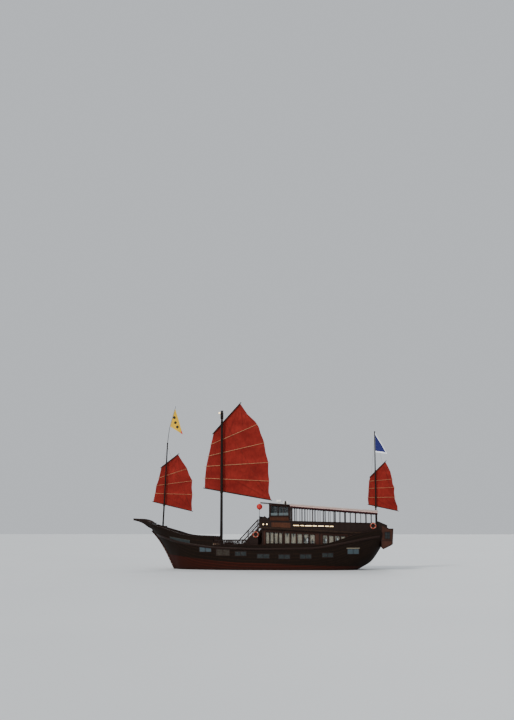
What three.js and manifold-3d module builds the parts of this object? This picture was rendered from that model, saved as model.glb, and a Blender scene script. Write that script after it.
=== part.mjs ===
// A three-masted excursion junk: a decked wooden hull with a horned bow and a stern gallery, a saloon on the
// main deck, an open upper deck under a long canopy, a wheelhouse, and three battened lug sails.
// Millimetres. The origin is on the waterline amidships; +X runs aft, +Y to starboard, +Z up.
import * as THREE from "three";
import { mergeVertices } from "three/addons/utils/BufferGeometryUtils.js";
import Module from "manifold-3d";

const wasm = await Module();
wasm.setup();

// Driving dimensions
const SEAT = 0.3; // gap left where two pieces touch
const RUNNING = 8; // radial gap round a mast, a shaft or a stock
const KEEL_HALF = 120; // half the flat strip that the keel lies under
const DRAUGHT = 2000;
const HULL_ROWS = 9; // facets from keel to deck
const STATION_STEP = 620; // longest facet along the hull
const PLANKING = 110; // thickness of a bulwark
const HULL_FORE = -11850;
const HULL_AFT = 12700;

// Decks and rails: each line is a list of [x, z]
const MAIN_DECK = 1900;
const FORE_BULKHEAD = -4800; // where the foredeck drops to the main deck
const SALOON_AFT = 10600; // where the main deck ends against the stern block
const STEP = 5; // run of a vertical face in a line that steps
const UPPER_DECK_SLOPE = 0.0536; // the superstructure falls towards the stern
const UPPER_DECK_THICK = 130;
const upperDeckUnder = (x) => 4240 - UPPER_DECK_SLOPE * (x - 950);
const upperDeckTop = (x) => upperDeckUnder(x) + UPPER_DECK_THICK;
const upperRail = (x) => 5030 - 0.0247 * (x - 3400); // top of the upper deck's bulwark
const canopyEdge = (x) => 6770 - 0.079 * (x - 3150); // top of the canopy at its side
const CANOPY_THICK = 70;
const VALANCE_DROP = 290;

const FOREDECK = [
  [HULL_FORE, 4220],
  [-11000, 3780],
  [-10000, 3450],
  [-8300, 2950],
  [FORE_BULKHEAD, 2600],
];
const RAIL = [
  [HULL_FORE, 4800],
  [-11000, 4500],
  [-10000, 4200],
  [-9000, 3900],
  [-8300, 3650],
  [-7500, 3520],
  [FORE_BULKHEAD, 3400],
  [FORE_BULKHEAD + STEP, 2550],
  [6760, 2600],
  [8200, 3000],
  [9730, 3580],
  [SALOON_AFT, 3800],
  [12300, 4100],
  [HULL_AFT, 4150],
];
const WALE = [
  [-11300, 3700],
  [-10000, 3250],
  [-8500, 2800],
  [FORE_BULKHEAD, 2300],
  [0, 2150],
  [6000, 2250],
  [9000, 2800],
  [12600, 3500],
];

// Hull lines, one row a station. The section is a cubic curve from the keel strip, drawn out by a bottom and
// a side handle, to the top of the planking.
const HULL_LINES = [
  // x, keel z, bottom handle y and z, side handle y and z, top y and z
  [-11850, 4060, 350, 4160, 1200, 4400, 1560, 4850],
  [-11050, 3150, 400, 3300, 1500, 3700, 1920, 4600],
  [-10250, 1880, 420, 2150, 1750, 3000, 2280, 4330],
  [-9300, 0, 430, 500, 2000, 1900, 2620, 4050],
  [-8500, -1100, 480, -700, 2300, 700, 2880, 3780],
  [-7000, -1620, 1000, -1520, 2900, -300, 3270, 3500],
  [-4800, -1750, 1900, -1750, 3420, -900, 3620, 3400],
  [-2000, -1750, 2700, -1750, 3760, -1100, 3790, 3000],
  [2000, -1750, 2800, -1750, 3800, -1150, 3800, 2900],
  [5500, -1600, 2500, -1600, 3720, -900, 3790, 2900],
  [8000, -1000, 2300, -1020, 3560, -400, 3710, 3200],
  [9500, -420, 2200, -400, 3400, 150, 3600, 3680],
  [10600, 200, 2100, 240, 3260, 700, 3480, 3950],
  [11700, 880, 2000, 920, 3100, 1350, 3320, 4150],
  [12450, 1900, 1900, 1950, 3000, 2250, 3190, 4230],
  [12700, 2330, 1850, 2380, 2950, 2600, 3150, 4250],
].map(([x, keelZ, bottomY, bottomZ, sideY, sideZ, topY, topZ]) => ({
  x,
  keelZ,
  bottomY,
  bottomZ,
  sideY,
  sideZ,
  topY,
  topZ,
}));

// Masts: foot and head on the centreline, radii, and the height of the parrel that carries the boom
const STAFF = { bend: [-10100, 15310], top: [-9500, 17500], r: 24 }; // bent aft above the fore mast's head
const MASTS = {
  fore: { x: -10770, rake: 0.0434, foot: 3700, head: 13500, r0: 95, r1: 60, staff: STAFF },
  main: { x: -4350, rake: 0, foot: MAIN_DECK, head: 17000, r0: 160, r1: 110 },
  mizzen: { x: 12250, rake: 0, foot: 0, head: 14600, r0: 85, r1: 50 },
};

// Sails: outlines, battens and spars as [x, z] in the plane of the cloth
const SAILS = {
  fore: {
    outline: [
      [-11038, 10911], [-9217, 12309], [-8710, 11520], [-8270, 10900], [-7940, 10190], [-7620, 9480],
      [-7580, 7990], [-7610, 6160], [-10310, 6680], [-11880, 7180], [-11690, 8040], [-11580, 8880],
      [-11340, 9540],
    ],
    battens: [
      [-11460, 9700, -8160, 10740],
      [-11680, 8900, -7540, 9430],
      [-11820, 8070, -7440, 7930],
    ],
    yard: [-11130, 10830, -9080, 12400],
    boom: [-12000, 7190, -7480, 6110],
    clothThick: 24,
    spar: 45,
    batten: 26,
  },
  main: {
    outline: [
      [-5300, 14640], [-2390, 17860], [-1560, 16650], [-690, 15830], [-300, 15220], [200, 13790],
      [430, 12670], [720, 11370], [800, 9350], [800, 8110], [1000, 7330], [-6240, 8590],
      [-6230, 9650], [-6100, 10950], [-5850, 12150], [-5590, 13360],
    ],
    battens: [
      [-5680, 13340, -440, 15560],
      [-6000, 12080, 320, 13520],
      [-6260, 10980, 900, 11390],
      [-6400, 9710, 980, 9350],
    ],
    yard: [-5420, 14500, -2270, 17980],
    boom: [-6400, 8640, 1120, 7290],
    clothThick: 24,
    spar: 62,
    batten: 38,
  },
  mizzen: {
    outline: [
      [11720, 9830], [13340, 11380], [13560, 11000], [13880, 10310], [14090, 9320], [14280, 8500],
      [14290, 7460], [14600, 6670], [14560, 6150], [11470, 6800], [11420, 7370], [11570, 9320],
    ],
    battens: [
      [11500, 9300, 14190, 9520],
      [11370, 8520, 14380, 8640],
      [11330, 7560, 14400, 7600],
    ],
    yard: [11620, 9700, 13470, 11510],
    boom: [11370, 6830, 14700, 6110],
    clothThick: 24,
    spar: 42,
    batten: 24,
  },
};
const SPAR_CLEAR = 22; // between a mast and the spars beside it

// Superstructure
const SALOON = { fore: 300, half: 2980, wall: 80, sill: 2730, headDrop: 340 };
const SALOON_WINDOWS = [
  // first window's fore edge, pitch, width, count
  [720, 450, 330, 4],
  [2700, 660, 480, 5],
  [6680, 620, 460, 4],
];
const DOOR = { height: 1850, width: 760, thick: 45, gap: 6, swing: 12, recess: 15 };
const HINGE = { stand: 20, r: 14, long: 90, strap: 160, block: 50, heights: [250, 1500] };
const UPPER = { fore: -100, aft: 12450, half: 3250, taperFrom: 8000, aftHalf: 2850 };
const SIDE_FRAME = {
  bow: 0, fore: 3350, aft: 12350, post: 110, pitch: 1180, wall: 70, gable: { x: 600, top: 5590, aft: 1220 },
};
const LANTERN = { post: 760, centre: 1010, r: 310 }; // heights above the post's foot
const CANOPY = { fore: 3260, aft: 12400, half: 3330, crown: 170, brim: 0.92 };
const WHEELHOUSE = {
  fore: 1000, aft: 3200, half: 2300, wall: 70, roofTop: 6950, roofThick: 90, sill: 5640, headDrop: 190,
};
const WHEELHOUSE_LIGHTS = {
  // first and last x behind the fore wall; first and last y
  side: [
    [170, 900],
    [1000, 2030],
  ],
  fore: [
    [-2110, -1330],
    [-1250, -470],
    [-390, 390],
    [470, 1250],
    [1330, 2110],
  ],
};
const ROOF_SLOPE = 0.079;
const STAIR = { foot: -2250, head: UPPER.fore - SEAT, inner: 2150, outer: 3050, steps: 10 };
const GALLERY = { aft: 13960, half: 2700, wall: 80 };
const BALUSTRADE = { fore: -4600, aft: -1150, post: 70, pitch: 310, top: 3080 };

const SIDES = [
  { name: "port", sign: -1 },
  { name: "starboard", sign: 1 },
];

const FINISH = {
  hull: { color: 0x2a1d17, roughness: 0.7, metalness: 0 },
  trim: { color: 0x3a2015, roughness: 0.55, metalness: 0 },
  deck: { color: 0x6b5138, roughness: 0.8, metalness: 0 },
  cabin: { color: 0x4a2517, roughness: 0.5, metalness: 0 },
  spar: { color: 0x2b1a12, roughness: 0.6, metalness: 0 },
  sail: { color: 0xa02a18, roughness: 0.9, metalness: 0 },
  canopy: { color: 0xb9a49b, roughness: 0.8, metalness: 0 },
  valance: { color: 0x5a1a1c, roughness: 0.9, metalness: 0 },
  yellow: { color: 0xe0b83a, roughness: 0.85, metalness: 0 },
  blue: { color: 0x223a8c, roughness: 0.85, metalness: 0 },
  ring: { color: 0xd8643c, roughness: 0.5, metalness: 0 },
  white: { color: 0xe6e4de, roughness: 0.4, metalness: 0 },
  lantern: { color: 0xb02a1c, roughness: 0.6, metalness: 0 },
  bronze: { color: 0x9a7440, roughness: 0.4, metalness: 0.9 },
  steel: { color: 0x6d6f70, roughness: 0.5, metalness: 0.8 },
};

// Solids

/** A closed geometry as a solid, turned to face out. */
function solid(geometry) {
  const g = geometry.clone();
  g.deleteAttribute("normal");
  g.deleteAttribute("uv");
  const merged = mergeVertices(g, 1e-3);
  const triVerts = new Uint32Array(merged.index.array);
  const make = () =>
    new wasm.Manifold(
      new wasm.Mesh({ numProp: 3, vertProperties: merged.attributes.position.array, triVerts }),
    );
  const made = make();
  if (made.volume() >= 0) return made;
  for (let i = 0; i < triVerts.length; i += 3) {
    [triVerts[i + 1], triVerts[i + 2]] = [triVerts[i + 2], triVerts[i + 1]];
  }
  return make();
}

/** A solid as a geometry for a mesh. */
function geometryOf(made) {
  const mesh = made.getMesh();
  const geometry = new THREE.BufferGeometry();
  geometry.setAttribute("position", new THREE.BufferAttribute(mesh.vertProperties, 3));
  geometry.setIndex(new THREE.BufferAttribute(mesh.triVerts, 1));
  geometry.computeVertexNormals();
  return geometry;
}

const join = (solids) => solids.reduce((whole, piece) => whole.add(piece));

/** A box between two x, two y and two z values. */
function box(x0, x1, y0, y1, z0, z1) {
  const geometry = new THREE.BoxGeometry(x1 - x0, y1 - y0, z1 - z0);
  return solid(geometry.translate((x0 + x1) / 2, (y0 + y1) / 2, (z0 + z1) / 2));
}

/** A round bar between two points, with its radius at each end and a corner of its section to the side. */
function bar(from, to, r0, r1 = r0, sides = 10) {
  const a = new THREE.Vector3(...from);
  const b = new THREE.Vector3(...to);
  const along = b.clone().sub(a);
  const geometry = new THREE.CylinderGeometry(r1, r0, along.length(), sides);
  along.normalize();
  const across = Math.abs(along.y) > 0.9 ? new THREE.Vector3(1, 0, 0) : new THREE.Vector3(0, 1, 0);
  across.addScaledVector(along, -across.dot(along)).normalize();
  const turn = new THREE.Matrix4().makeBasis(across, along, across.clone().cross(along));
  const middle = a.add(b).multiplyScalar(0.5);
  return solid(geometry.applyMatrix4(turn).translate(middle.x, middle.y, middle.z));
}

/** An upright plate: an outline of [x, z] points, less its holes, from y0 to y1. */
function panel(outline, holes, y0, y1) {
  const slab = (points, low, high) => {
    const shape = new THREE.Shape(points.map(([x, z]) => new THREE.Vector2(x, z)));
    const geometry = new THREE.ExtrudeGeometry(shape, { depth: high - low, bevelEnabled: false });
    return solid(geometry.rotateX(Math.PI / 2).translate(0, high, 0));
  };
  const cuts = holes.map((hole) => slab(hole, y0 - 10, y1 + 10));
  return cuts.reduce((whole, cut) => whole.subtract(cut), slab(outline, y0, y1));
}

/** A level plate: an outline of [x, y] points, from z0 to z1. */
function plate(outline, z0, z1) {
  const shape = new THREE.Shape(outline.map(([x, y]) => new THREE.Vector2(x, y)));
  const geometry = new THREE.ExtrudeGeometry(shape, { depth: z1 - z0, bevelEnabled: false });
  return solid(geometry.translate(0, 0, z0));
}

/** A solid lofted through rings of [x, y, z] points, all with the same count, and capped at both ends. */
function loft(rings) {
  const count = rings[0].length;
  const index = [];
  rings.slice(1).forEach((_, r) => {
    for (let i = 0; i < count; i += 1) {
      const a = r * count + i;
      const b = r * count + ((i + 1) % count);
      index.push(a, b, b + count, a, b + count, a + count);
    }
  });
  const cap = (ring, first, flip) => {
    const outline = ring.map(([, y, z]) => new THREE.Vector2(y, z));
    THREE.ShapeUtils.triangulateShape(outline, []).forEach(([a, b, c]) => {
      index.push(...(flip ? [first + a, first + c, first + b] : [first + a, first + b, first + c]));
    });
  };
  const turns = THREE.ShapeUtils.isClockWise(rings[0].map(([, y, z]) => new THREE.Vector2(y, z)));
  cap(rings[0], 0, !turns);
  cap(rings.at(-1), count * (rings.length - 1), turns);
  const geometry = new THREE.BufferGeometry();
  geometry.setAttribute("position", new THREE.Float32BufferAttribute(rings.flat(2), 3));
  geometry.setIndex(index);
  return solid(geometry);
}

/** Lets a solid fall towards the stern: each point drops by slope times its distance aft of x0. */
function slopeAft(made, slope, x0) {
  const shear = new THREE.Matrix4().makeShear(0, -slope, 0, 0, 0, 0);
  const geometry = geometryOf(made).applyMatrix4(shear);
  return solid(geometry.translate(0, 0, slope * x0));
}

// Lines of the hull

/** The z of a line of [x, z] points at x. */
function heightOn(line, x) {
  const next = Math.max(1, line.findIndex(([at]) => at >= x));
  const [x0, z0] = line[next - 1];
  const [x1, z1] = line[next];
  return z0 + ((z1 - z0) * (x - x0)) / (x1 - x0);
}

/** A column of the hull lines at x, on a smooth curve through the stations. */
function hullLine(column, x) {
  const last = HULL_LINES.length - 1;
  const found = HULL_LINES.findIndex((row) => row.x >= x);
  const i = Math.min(Math.max(found, 1), last);
  const [p, a, b, n] = [i - 2, i - 1, i, i + 1].map(
    (k) => HULL_LINES[Math.min(Math.max(k, 0), last)],
  );
  const run = b.x - a.x;
  const t = (x - a.x) / run;
  const slopeA = ((b[column] - p[column]) / (b.x - p.x)) * run;
  const slopeB = ((n[column] - a[column]) / (n.x - a.x)) * run;
  return (
    a[column] * (2 * t ** 3 - 3 * t ** 2 + 1) +
    slopeA * (t ** 3 - 2 * t ** 2 + t) +
    b[column] * (3 * t ** 2 - 2 * t ** 3) +
    slopeB * (t ** 3 - t ** 2)
  );
}

/** The section's curve at station x: [y, z] for u from 0 at the keel to 1 at the top of the planking. */
function section(x, u) {
  const at = (column) => hullLine(column, x);
  const cubic = (a, b, c, d) =>
    a * (1 - u) ** 3 + 3 * b * u * (1 - u) ** 2 + 3 * c * u ** 2 * (1 - u) + d * u ** 3;
  return [
    cubic(KEEL_HALF, at("bottomY"), at("sideY"), at("topY")),
    cubic(at("keelZ"), at("bottomZ"), at("sideZ"), at("topZ")),
  ];
}

/** Where the section's curve at x reaches height z. */
function reach(x, z) {
  let [low, high] = [0, 1];
  for (let i = 0; i < 40; i += 1) {
    const middle = (low + high) / 2;
    if (section(x, middle)[1] < z) low = middle;
    else high = middle;
  }
  return low;
}

/** The deck's height at x, with the drop at the fore bulkhead and the rise at the stern block. */
function deckHeight(x) {
  if (x <= FORE_BULKHEAD) return heightOn(FOREDECK, x);
  if (x >= SALOON_AFT) return upperDeckUnder(x) - SEAT;
  return MAIN_DECK;
}

/** The half section's facet points at x, from keel to deck. */
function halfSection(x) {
  const top = reach(x, deckHeight(x));
  return Array.from({ length: HULL_ROWS + 1 }, (_, i) => section(x, (top * i) / HULL_ROWS));
}

/** Stations from one x to another, with the hull's own steps among them. */
function stations(from, to) {
  const marks = HULL_LINES.map((row) => row.x)
    .concat(RAIL.map(([x]) => x), [FORE_BULKHEAD, FORE_BULKHEAD + STEP, SALOON_AFT - STEP, SALOON_AFT])
    .filter((x) => x > from + 1 && x < to - 1)
    .concat([from, to])
    .sort((a, b) => a - b)
    .filter((x, i, all) => i === 0 || x - all[i - 1] > 1);
  return marks.flatMap((x, i) => {
    if (i === 0) return [x];
    const run = x - marks[i - 1];
    const parts = Math.ceil(run / STATION_STEP);
    return Array.from({ length: parts }, (_, k) => marks[i - 1] + (run * (k + 1)) / parts);
  });
}

// Hull pieces

/** The solid hull up to its decks; grow widens it, for cutting what lies on its side. */
function hull(grow = 0) {
  const rings = stations(HULL_FORE, HULL_AFT).map((x) => {
    const half = halfSection(x);
    const starboard = half.map(([y, z]) => [x, y + grow, z]);
    const port = half.map(([y, z]) => [x, -y - grow, z]).reverse();
    return starboard.concat(port);
  });
  return loft(rings);
}

const SHAFT = { z: -1380, fore: 7300, aft: 8420, r: 75 };
const RUDDER = { stock: 9560, stockR: 65, aft: 10750, bottom: -1840, thick: 90 };
const KEEL_SHOE = { aft: 9760, height: 110 };
const APERTURE = 8360; // aft face of the deadwood, ahead of the propeller

const STEM = { width: 155, foot: -8500, cut: -8540 - SEAT };

function keel() {
  const fore = -8500;
  const under = (x) => hullLine("keelZ", x) - SEAT;
  const top = stations(fore, APERTURE).map((x) => [x, under(x)]);
  const outline = [
    ...top,
    [APERTURE, -DRAUGHT + KEEL_SHOE.height],
    [KEEL_SHOE.aft, -DRAUGHT + KEEL_SHOE.height],
    [KEEL_SHOE.aft, -DRAUGHT],
    [-5200, -DRAUGHT],
    [-7300, -1830],
    [fore - 40, -1330],
  ];
  const body = panel(outline, [], -KEEL_HALF + 10, KEEL_HALF - 10);
  const boss = bar([SHAFT.fore, 0, SHAFT.z], [SHAFT.aft, 0, SHAFT.z], SHAFT.r * 2, SHAFT.r * 1.5, 14);
  const [boreFore, boreAft] = [SHAFT.aft - 400, SHAFT.aft + 10];
  const bore = bar([boreFore, 0, SHAFT.z], [boreAft, 0, SHAFT.z], SHAFT.r * 0.6 + 3, SHAFT.r * 0.6 + 3, 14);
  return body.add(boss).subtract(bore);
}

/** The stem post: it stands ahead of the planking from the keel's fore end to the deck. */
function stem() {
  const { width, foot, cut } = STEM;
  const inner = stations(HULL_FORE, foot).map((x) => [x, hullLine("keelZ", x) - SEAT]);
  const outer = inner.map(([x, z]) => [x - width, z - 30]).reverse();
  const outline = [...inner, [foot - 40, -1330], [foot - 200, -1270], ...outer.slice(2)];
  const post = panel(outline, [], -KEEL_HALF + 15, KEEL_HALF - 15);
  return post.subtract(box(cut, 0, -500, 500, -3000, 0));
}

/** A bulwark: the hull's side carried up from the deck to the rail, one plank thick, and grow more. */
function bulwark(sign, grow = 0) {
  const rings = stations(HULL_FORE, HULL_AFT).map((x) => {
    const low = deckHeight(x) + SEAT;
    const high = heightOn(RAIL, x);
    const levels = [low, (low + high) / 2, high];
    const outer = levels.map((z) => [x, sign * (section(x, reach(x, z))[0] + grow), z]);
    const inner = outer.map(([, y, z]) => [x, y - sign * (PLANKING + 2 * grow), z]).reverse();
    return outer.concat(inner);
  });
  return loft(rings);
}

const WING_LINES = [
  // x, low z, high z, y at the low edge, y at the high edge
  [HULL_FORE - SEAT, 4230, 4800, 640, 1535],
  [-12200, 4470, 5030, 1180, 1600],
  [-12600, 4800, 5180, 1490, 1650],
  [-13100, 5010, 5260, 1620, 1700],
  [-13650, 5150, 5290, 1690, 1740],
];
const WING_THICK = 95;

function bowWing(sign) {
  return loft(
    WING_LINES.map(([x, low, high, yLow, yHigh]) => [
      [x, sign * yLow, low],
      [x, sign * yHigh, high],
      [x, sign * (yHigh - WING_THICK), high],
      [x, sign * (yLow - WING_THICK), low],
    ]),
  );
}

/** The board that closes the bow between the bulwarks. */
function bowTransom() {
  const ringAt = (x) => {
    const low = heightOn(FOREDECK, x) + SEAT;
    const high = 4900;
    const side = (z) => section(x, reach(x, Math.min(z, 4790)))[0] - PLANKING - 32;
    const edge = [low, (low + high) / 2, high].map((z) => [x, side(z), z]);
    return edge.concat(edge.map(([, y, z]) => [x, -y, z]).reverse());
  };
  return loft([ringAt(-11800), ringAt(-11700)]);
}

/** The rubbing strake along one side, its back cut to the planking, with a relief where the deck steps. */
function wale(sign) {
  const [depth, stand, bite, clear] = [150, 75, 40, 0.8];
  const side = (x, z) => sign * section(x, reach(x, z))[0];
  const rings = stations(WALE[0][0], WALE.at(-1)[0]).map((x) => {
    const z = heightOn(WALE, x);
    const [low, high] = [z - depth / 2, z + depth / 2];
    return [
      [x, side(x, low) - sign * bite, low],
      [x, side(x, low) + sign * stand, low + 12],
      [x, side(x, high) + sign * stand, high - 12],
      [x, side(x, high) - sign * bite, high],
    ];
  });
  const step = FORE_BULKHEAD;
  const edge = side(step, heightOn(WALE, step) + depth / 2) + sign;
  const span = [edge - sign * 200, edge].sort((m, n) => m - n);
  const relief = box(step - STEP, step + 2 * STEP, ...span, MAIN_DECK, RAIL[0][1]);
  return [hull(clear), bulwark(sign, clear), relief].reduce((whole, cut) => whole.subtract(cut), loft(rings));
}

/** Turned balusters under a hand rail, on the waist's low bulwark. */
function balustrade(sign) {
  const { fore, aft, post, pitch, top } = BALUSTRADE;
  const side = (x) => section(x, reach(x, 2500))[0] - PLANKING / 2;
  const count = Math.floor((aft - fore) / pitch);
  const posts = Array.from({ length: count + 1 }, (_, i) => {
    const x = fore + i * pitch;
    const y = sign * side(x);
    return box(x - post / 2, x + post / 2, y - post / 2, y + post / 2, heightOn(RAIL, x) + SEAT, top - 20);
  });
  const rail = loft(
    stations(fore - 80, aft + 80).map((x) => {
      const y = sign * side(x);
      return [
        [x, y - 60, top - 70],
        [x, y + 60, top - 70],
        [x, y + 60, top],
        [x, y - 60, top],
      ];
    }),
  );
  return join([rail, ...posts]);
}

const WINDLASS = { x: -9300, cheek: 540, cheekThick: 80, axle: 46, height: 420, drum: 120, head: 820 };

/** The windlass's height at its axle, on the sloping foredeck. */
const windlassAxle = () => heightOn(FOREDECK, WINDLASS.x) + WINDLASS.height;

function windlassFrame() {
  const { x, cheek, cheekThick, axle, height } = WINDLASS;
  const outer = cheek + cheekThick;
  const cheeks = [-outer, cheek].map((y) => box(x - 140, x + 140, y, y + cheekThick, 0, height + 200));
  const base = box(x - 140, x + 140, -outer, outer, 0, 60);
  const slope = (heightOn(FOREDECK, x - 100) - heightOn(FOREDECK, x + 100)) / 200;
  const frame = slopeAft(join([base, ...cheeks]), slope, x).translate([0, 0, heightOn(FOREDECK, x) + SEAT]);
  const z = windlassAxle();
  return frame.subtract(bar([x, -outer - 10, z], [x, outer + 10, z], axle + RUNNING, undefined, 14));
}

function windlassBarrel() {
  const { x, cheek, cheekThick, axle, drum, head } = WINDLASS;
  const z = windlassAxle();
  const along = (y0, y1, r) => bar([x, y0, z], [x, y1, z], r, r, 14);
  const ends = cheek + cheekThick + 20;
  return join([
    along(-head, head, axle),
    along(-cheek + SEAT, cheek - SEAT, drum),
    along(-head, -ends, drum),
    along(ends, head, drum),
  ]);
}

// Masts and sails

/** A point on a mast's axis at height z. */
const onMast = (mast, z) => [mast.x + mast.rake * (z - mast.foot), 0, z];
const mastRadius = (mast, z) => mast.r0 + ((mast.r1 - mast.r0) * (z - mast.foot)) / (mast.head - mast.foot);

/** Where a spar given as [x0, z0, x1, z1] crosses a mast. */
function crossing(spar, mast) {
  const [x0, z0, x1, z1] = spar;
  const steep = (z1 - z0) / (x1 - x0);
  const z = (z0 + steep * (mast.x - mast.rake * mast.foot - x0)) / (1 - steep * mast.rake);
  return z;
}

const PARREL = { drop: 120, rise: 45, wall: 45 };
const COLLAR = { height: 45, wall: 50 };

function mastSolid(mast, sail) {
  const foot = mast.foot + SEAT;
  const pole = bar(onMast(mast, foot), onMast(mast, mast.head), mast.r0, mast.r1, 16);
  const top = crossing(sail.boom, mast) - PARREL.drop - SEAT;
  const r = mastRadius(mast, top) + COLLAR.wall;
  const collar = bar(onMast(mast, top - COLLAR.height), onMast(mast, top), r, r, 16);
  const [capFoot, capTop] = [onMast(mast, mast.head - 20), onMast(mast, mast.head + 60)];
  const cap = bar(capFoot, capTop, mast.r1 * 1.5, mast.r1 * 1.5, 12);
  const pieces = [pole, collar, cap];
  if (mast.staff) {
    const [bend, tip] = [mast.staff.bend, mast.staff.top].map(([x, z]) => [x, 0, z]);
    pieces.push(bar(onMast(mast, mast.head), bend, mast.staff.r, mast.staff.r, 8));
    pieces.push(bar(bend, tip, mast.staff.r, mast.staff.r, 8));
  }
  return join(pieces);
}

/** The y of a spar's axis and of the cloth's plane, on the starboard side of the mast. */
const sparPlane = (mast, sail) => mast.r0 + SPAR_CLEAR + sail.spar;
const clothPlane = (mast, sail) => sparPlane(mast, sail) + sail.spar + SEAT + sail.clothThick / 2;

/** A yard or boom, with the parrel that runs round the mast. */
function spar(mast, sail, line, drop) {
  const [x0, z0, x1, z1] = line;
  const y = sparPlane(mast, sail);
  const pole = bar([x0, y, z0], [x1, y, z1], sail.spar, sail.spar, 12);
  const z = crossing(line, mast);
  const [low, high] = [z - drop, z + PARREL.rise];
  const inner = mastRadius(mast, low) + RUNNING;
  const outer = Math.max(inner + PARREL.wall, y - sail.spar * 0.6);
  const ring = bar(onMast(mast, low), onMast(mast, high), outer, outer, 16);
  const bore = bar(onMast(mast, low - 50), onMast(mast, high + 50), inner, inner, 16);
  return pole.add(ring).subtract(bore);
}

/** The cloth with its battens on the mast's side. */
function sailSolid(mast, sail) {
  const y = clothPlane(mast, sail);
  const cloth = panel(sail.outline, [], y - sail.clothThick / 2, y + sail.clothThick / 2);
  const near = y - sail.clothThick / 2 - sail.batten * 0.4;
  const battens = sail.battens.map(([x0, z0, x1, z1]) =>
    bar([x0, near, z0], [x1, near, z1], sail.batten, sail.batten, 8),
  );
  return join([cloth, ...battens]);
}

// Cabins

const saloonDoor = { face: SALOON.fore, out: -1, floor: MAIN_DECK + SEAT };
const wheelhouseSill = upperDeckTop(WHEELHOUSE.aft - WHEELHOUSE.wall) + SEAT;
const wheelhouseDoor = { face: WHEELHOUSE.aft, out: 1, floor: wheelhouseSill };

/** A door or window hole as [x, z] points whose head falls with the deck above. */
const opening = (x0, x1, low, headAt) => [
  [x0, low],
  [x1, low],
  [x1, headAt(x1)],
  [x0, headAt(x0)],
];

function saloon() {
  const { fore, half, wall, sill, headDrop } = SALOON;
  const [floor, aft] = [MAIN_DECK + SEAT, SALOON_AFT - STEP - SEAT];
  const top = (x) => upperDeckUnder(x) - SEAT;
  const head = (x) => top(x) - headDrop;
  const windows = SALOON_WINDOWS.flatMap(([first, pitch, width, count]) =>
    Array.from({ length: count }, (_, i) => {
      const x = first + i * pitch;
      return opening(x, x + width, sill, head);
    }),
  );
  const outline = opening(fore, aft, floor, top);
  const sides = [-half, half - wall].map((y) => panel(outline, windows, y, y + wall));
  const front = panel(opening(fore, fore + wall, floor, top), [], -half, half);
  const back = panel(opening(aft - wall, aft, floor, top), [], -half, half);
  const way = DOOR.width / 2;
  const doorway = box(fore - 10, fore + wall + 10, -way, way, floor - 10, floor + DOOR.height);
  return join([...sides, front, back]).subtract(doorway).add(hingeBlocks(saloonDoor));
}

/** A hinged door in a wall across the boat: face is the wall's outer x, out the way that face looks. */
function doorLeaf({ face, out, floor }) {
  const { height, width, thick, gap, swing, recess } = DOOR;
  const across = (d0, d1, y0, y1, z0, z1) => {
    const [x0, x1] = [face + out * d0, face + out * d1].sort((m, n) => m - n);
    return box(x0, x1, y0, y1, floor + z0, floor + z1);
  };
  const half = width / 2;
  const leaf = across(-recess - thick, -recess, -half + gap, half - swing, gap, height - gap);
  const light = across(-recess - thick - 5, 5 - recess, -half + 140, half - 140, 1050, height - 170);
  const { stand, r, long, strap, heights } = HINGE;
  const pin = -half + gap / 2;
  const hinges = heights.flatMap((z) => [
    bar([face + out * stand, pin, floor + z], [face + out * stand, pin, floor + z + long], r, r, 12),
    across(6, stand + 6, pin, pin + strap, z, z + long),
    across(-recess - 5, 8, pin + 20, pin + strap, z, z + long),
  ]);
  return join([leaf.subtract(light), ...hinges]);
}

/** The blocks on the wall that the door's knuckles turn on. */
function hingeBlocks({ face, out, floor }) {
  const { stand, r, block, heights } = HINGE;
  const [x0, x1] = [face - out, face + out * (stand + r)].sort((m, n) => m - n);
  const pin = -DOOR.width / 2 + DOOR.gap / 2;
  return join(heights.map((z) => box(x0, x1, pin - 50, pin + r, floor + z - block, floor + z - SEAT)));
}

/** The upper deck's plan: parallel forward, narrowing from taperFrom to the stern. */
function upperDeckPlan(inset = 0) {
  const { fore, aft, half, taperFrom, aftHalf } = UPPER;
  const side = [
    [fore, half - inset],
    [taperFrom, half - inset],
    [aft, aftHalf - inset],
  ];
  return side.concat(side.map(([x, y]) => [x, -y]).reverse());
}

function upperDeck() {
  const level = plate(upperDeckPlan(), 0, UPPER_DECK_THICK);
  return slopeAft(level, UPPER_DECK_SLOPE, 950).translate([0, 0, upperDeckUnder(950)]);
}

/** The upper deck's half breadth at x. */
function upperHalf(x) {
  const { aft, half, taperFrom, aftHalf } = UPPER;
  return x < taperFrom ? half : half + ((aftHalf - half) * (x - taperFrom)) / (aft - taperFrom);
}

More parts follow.
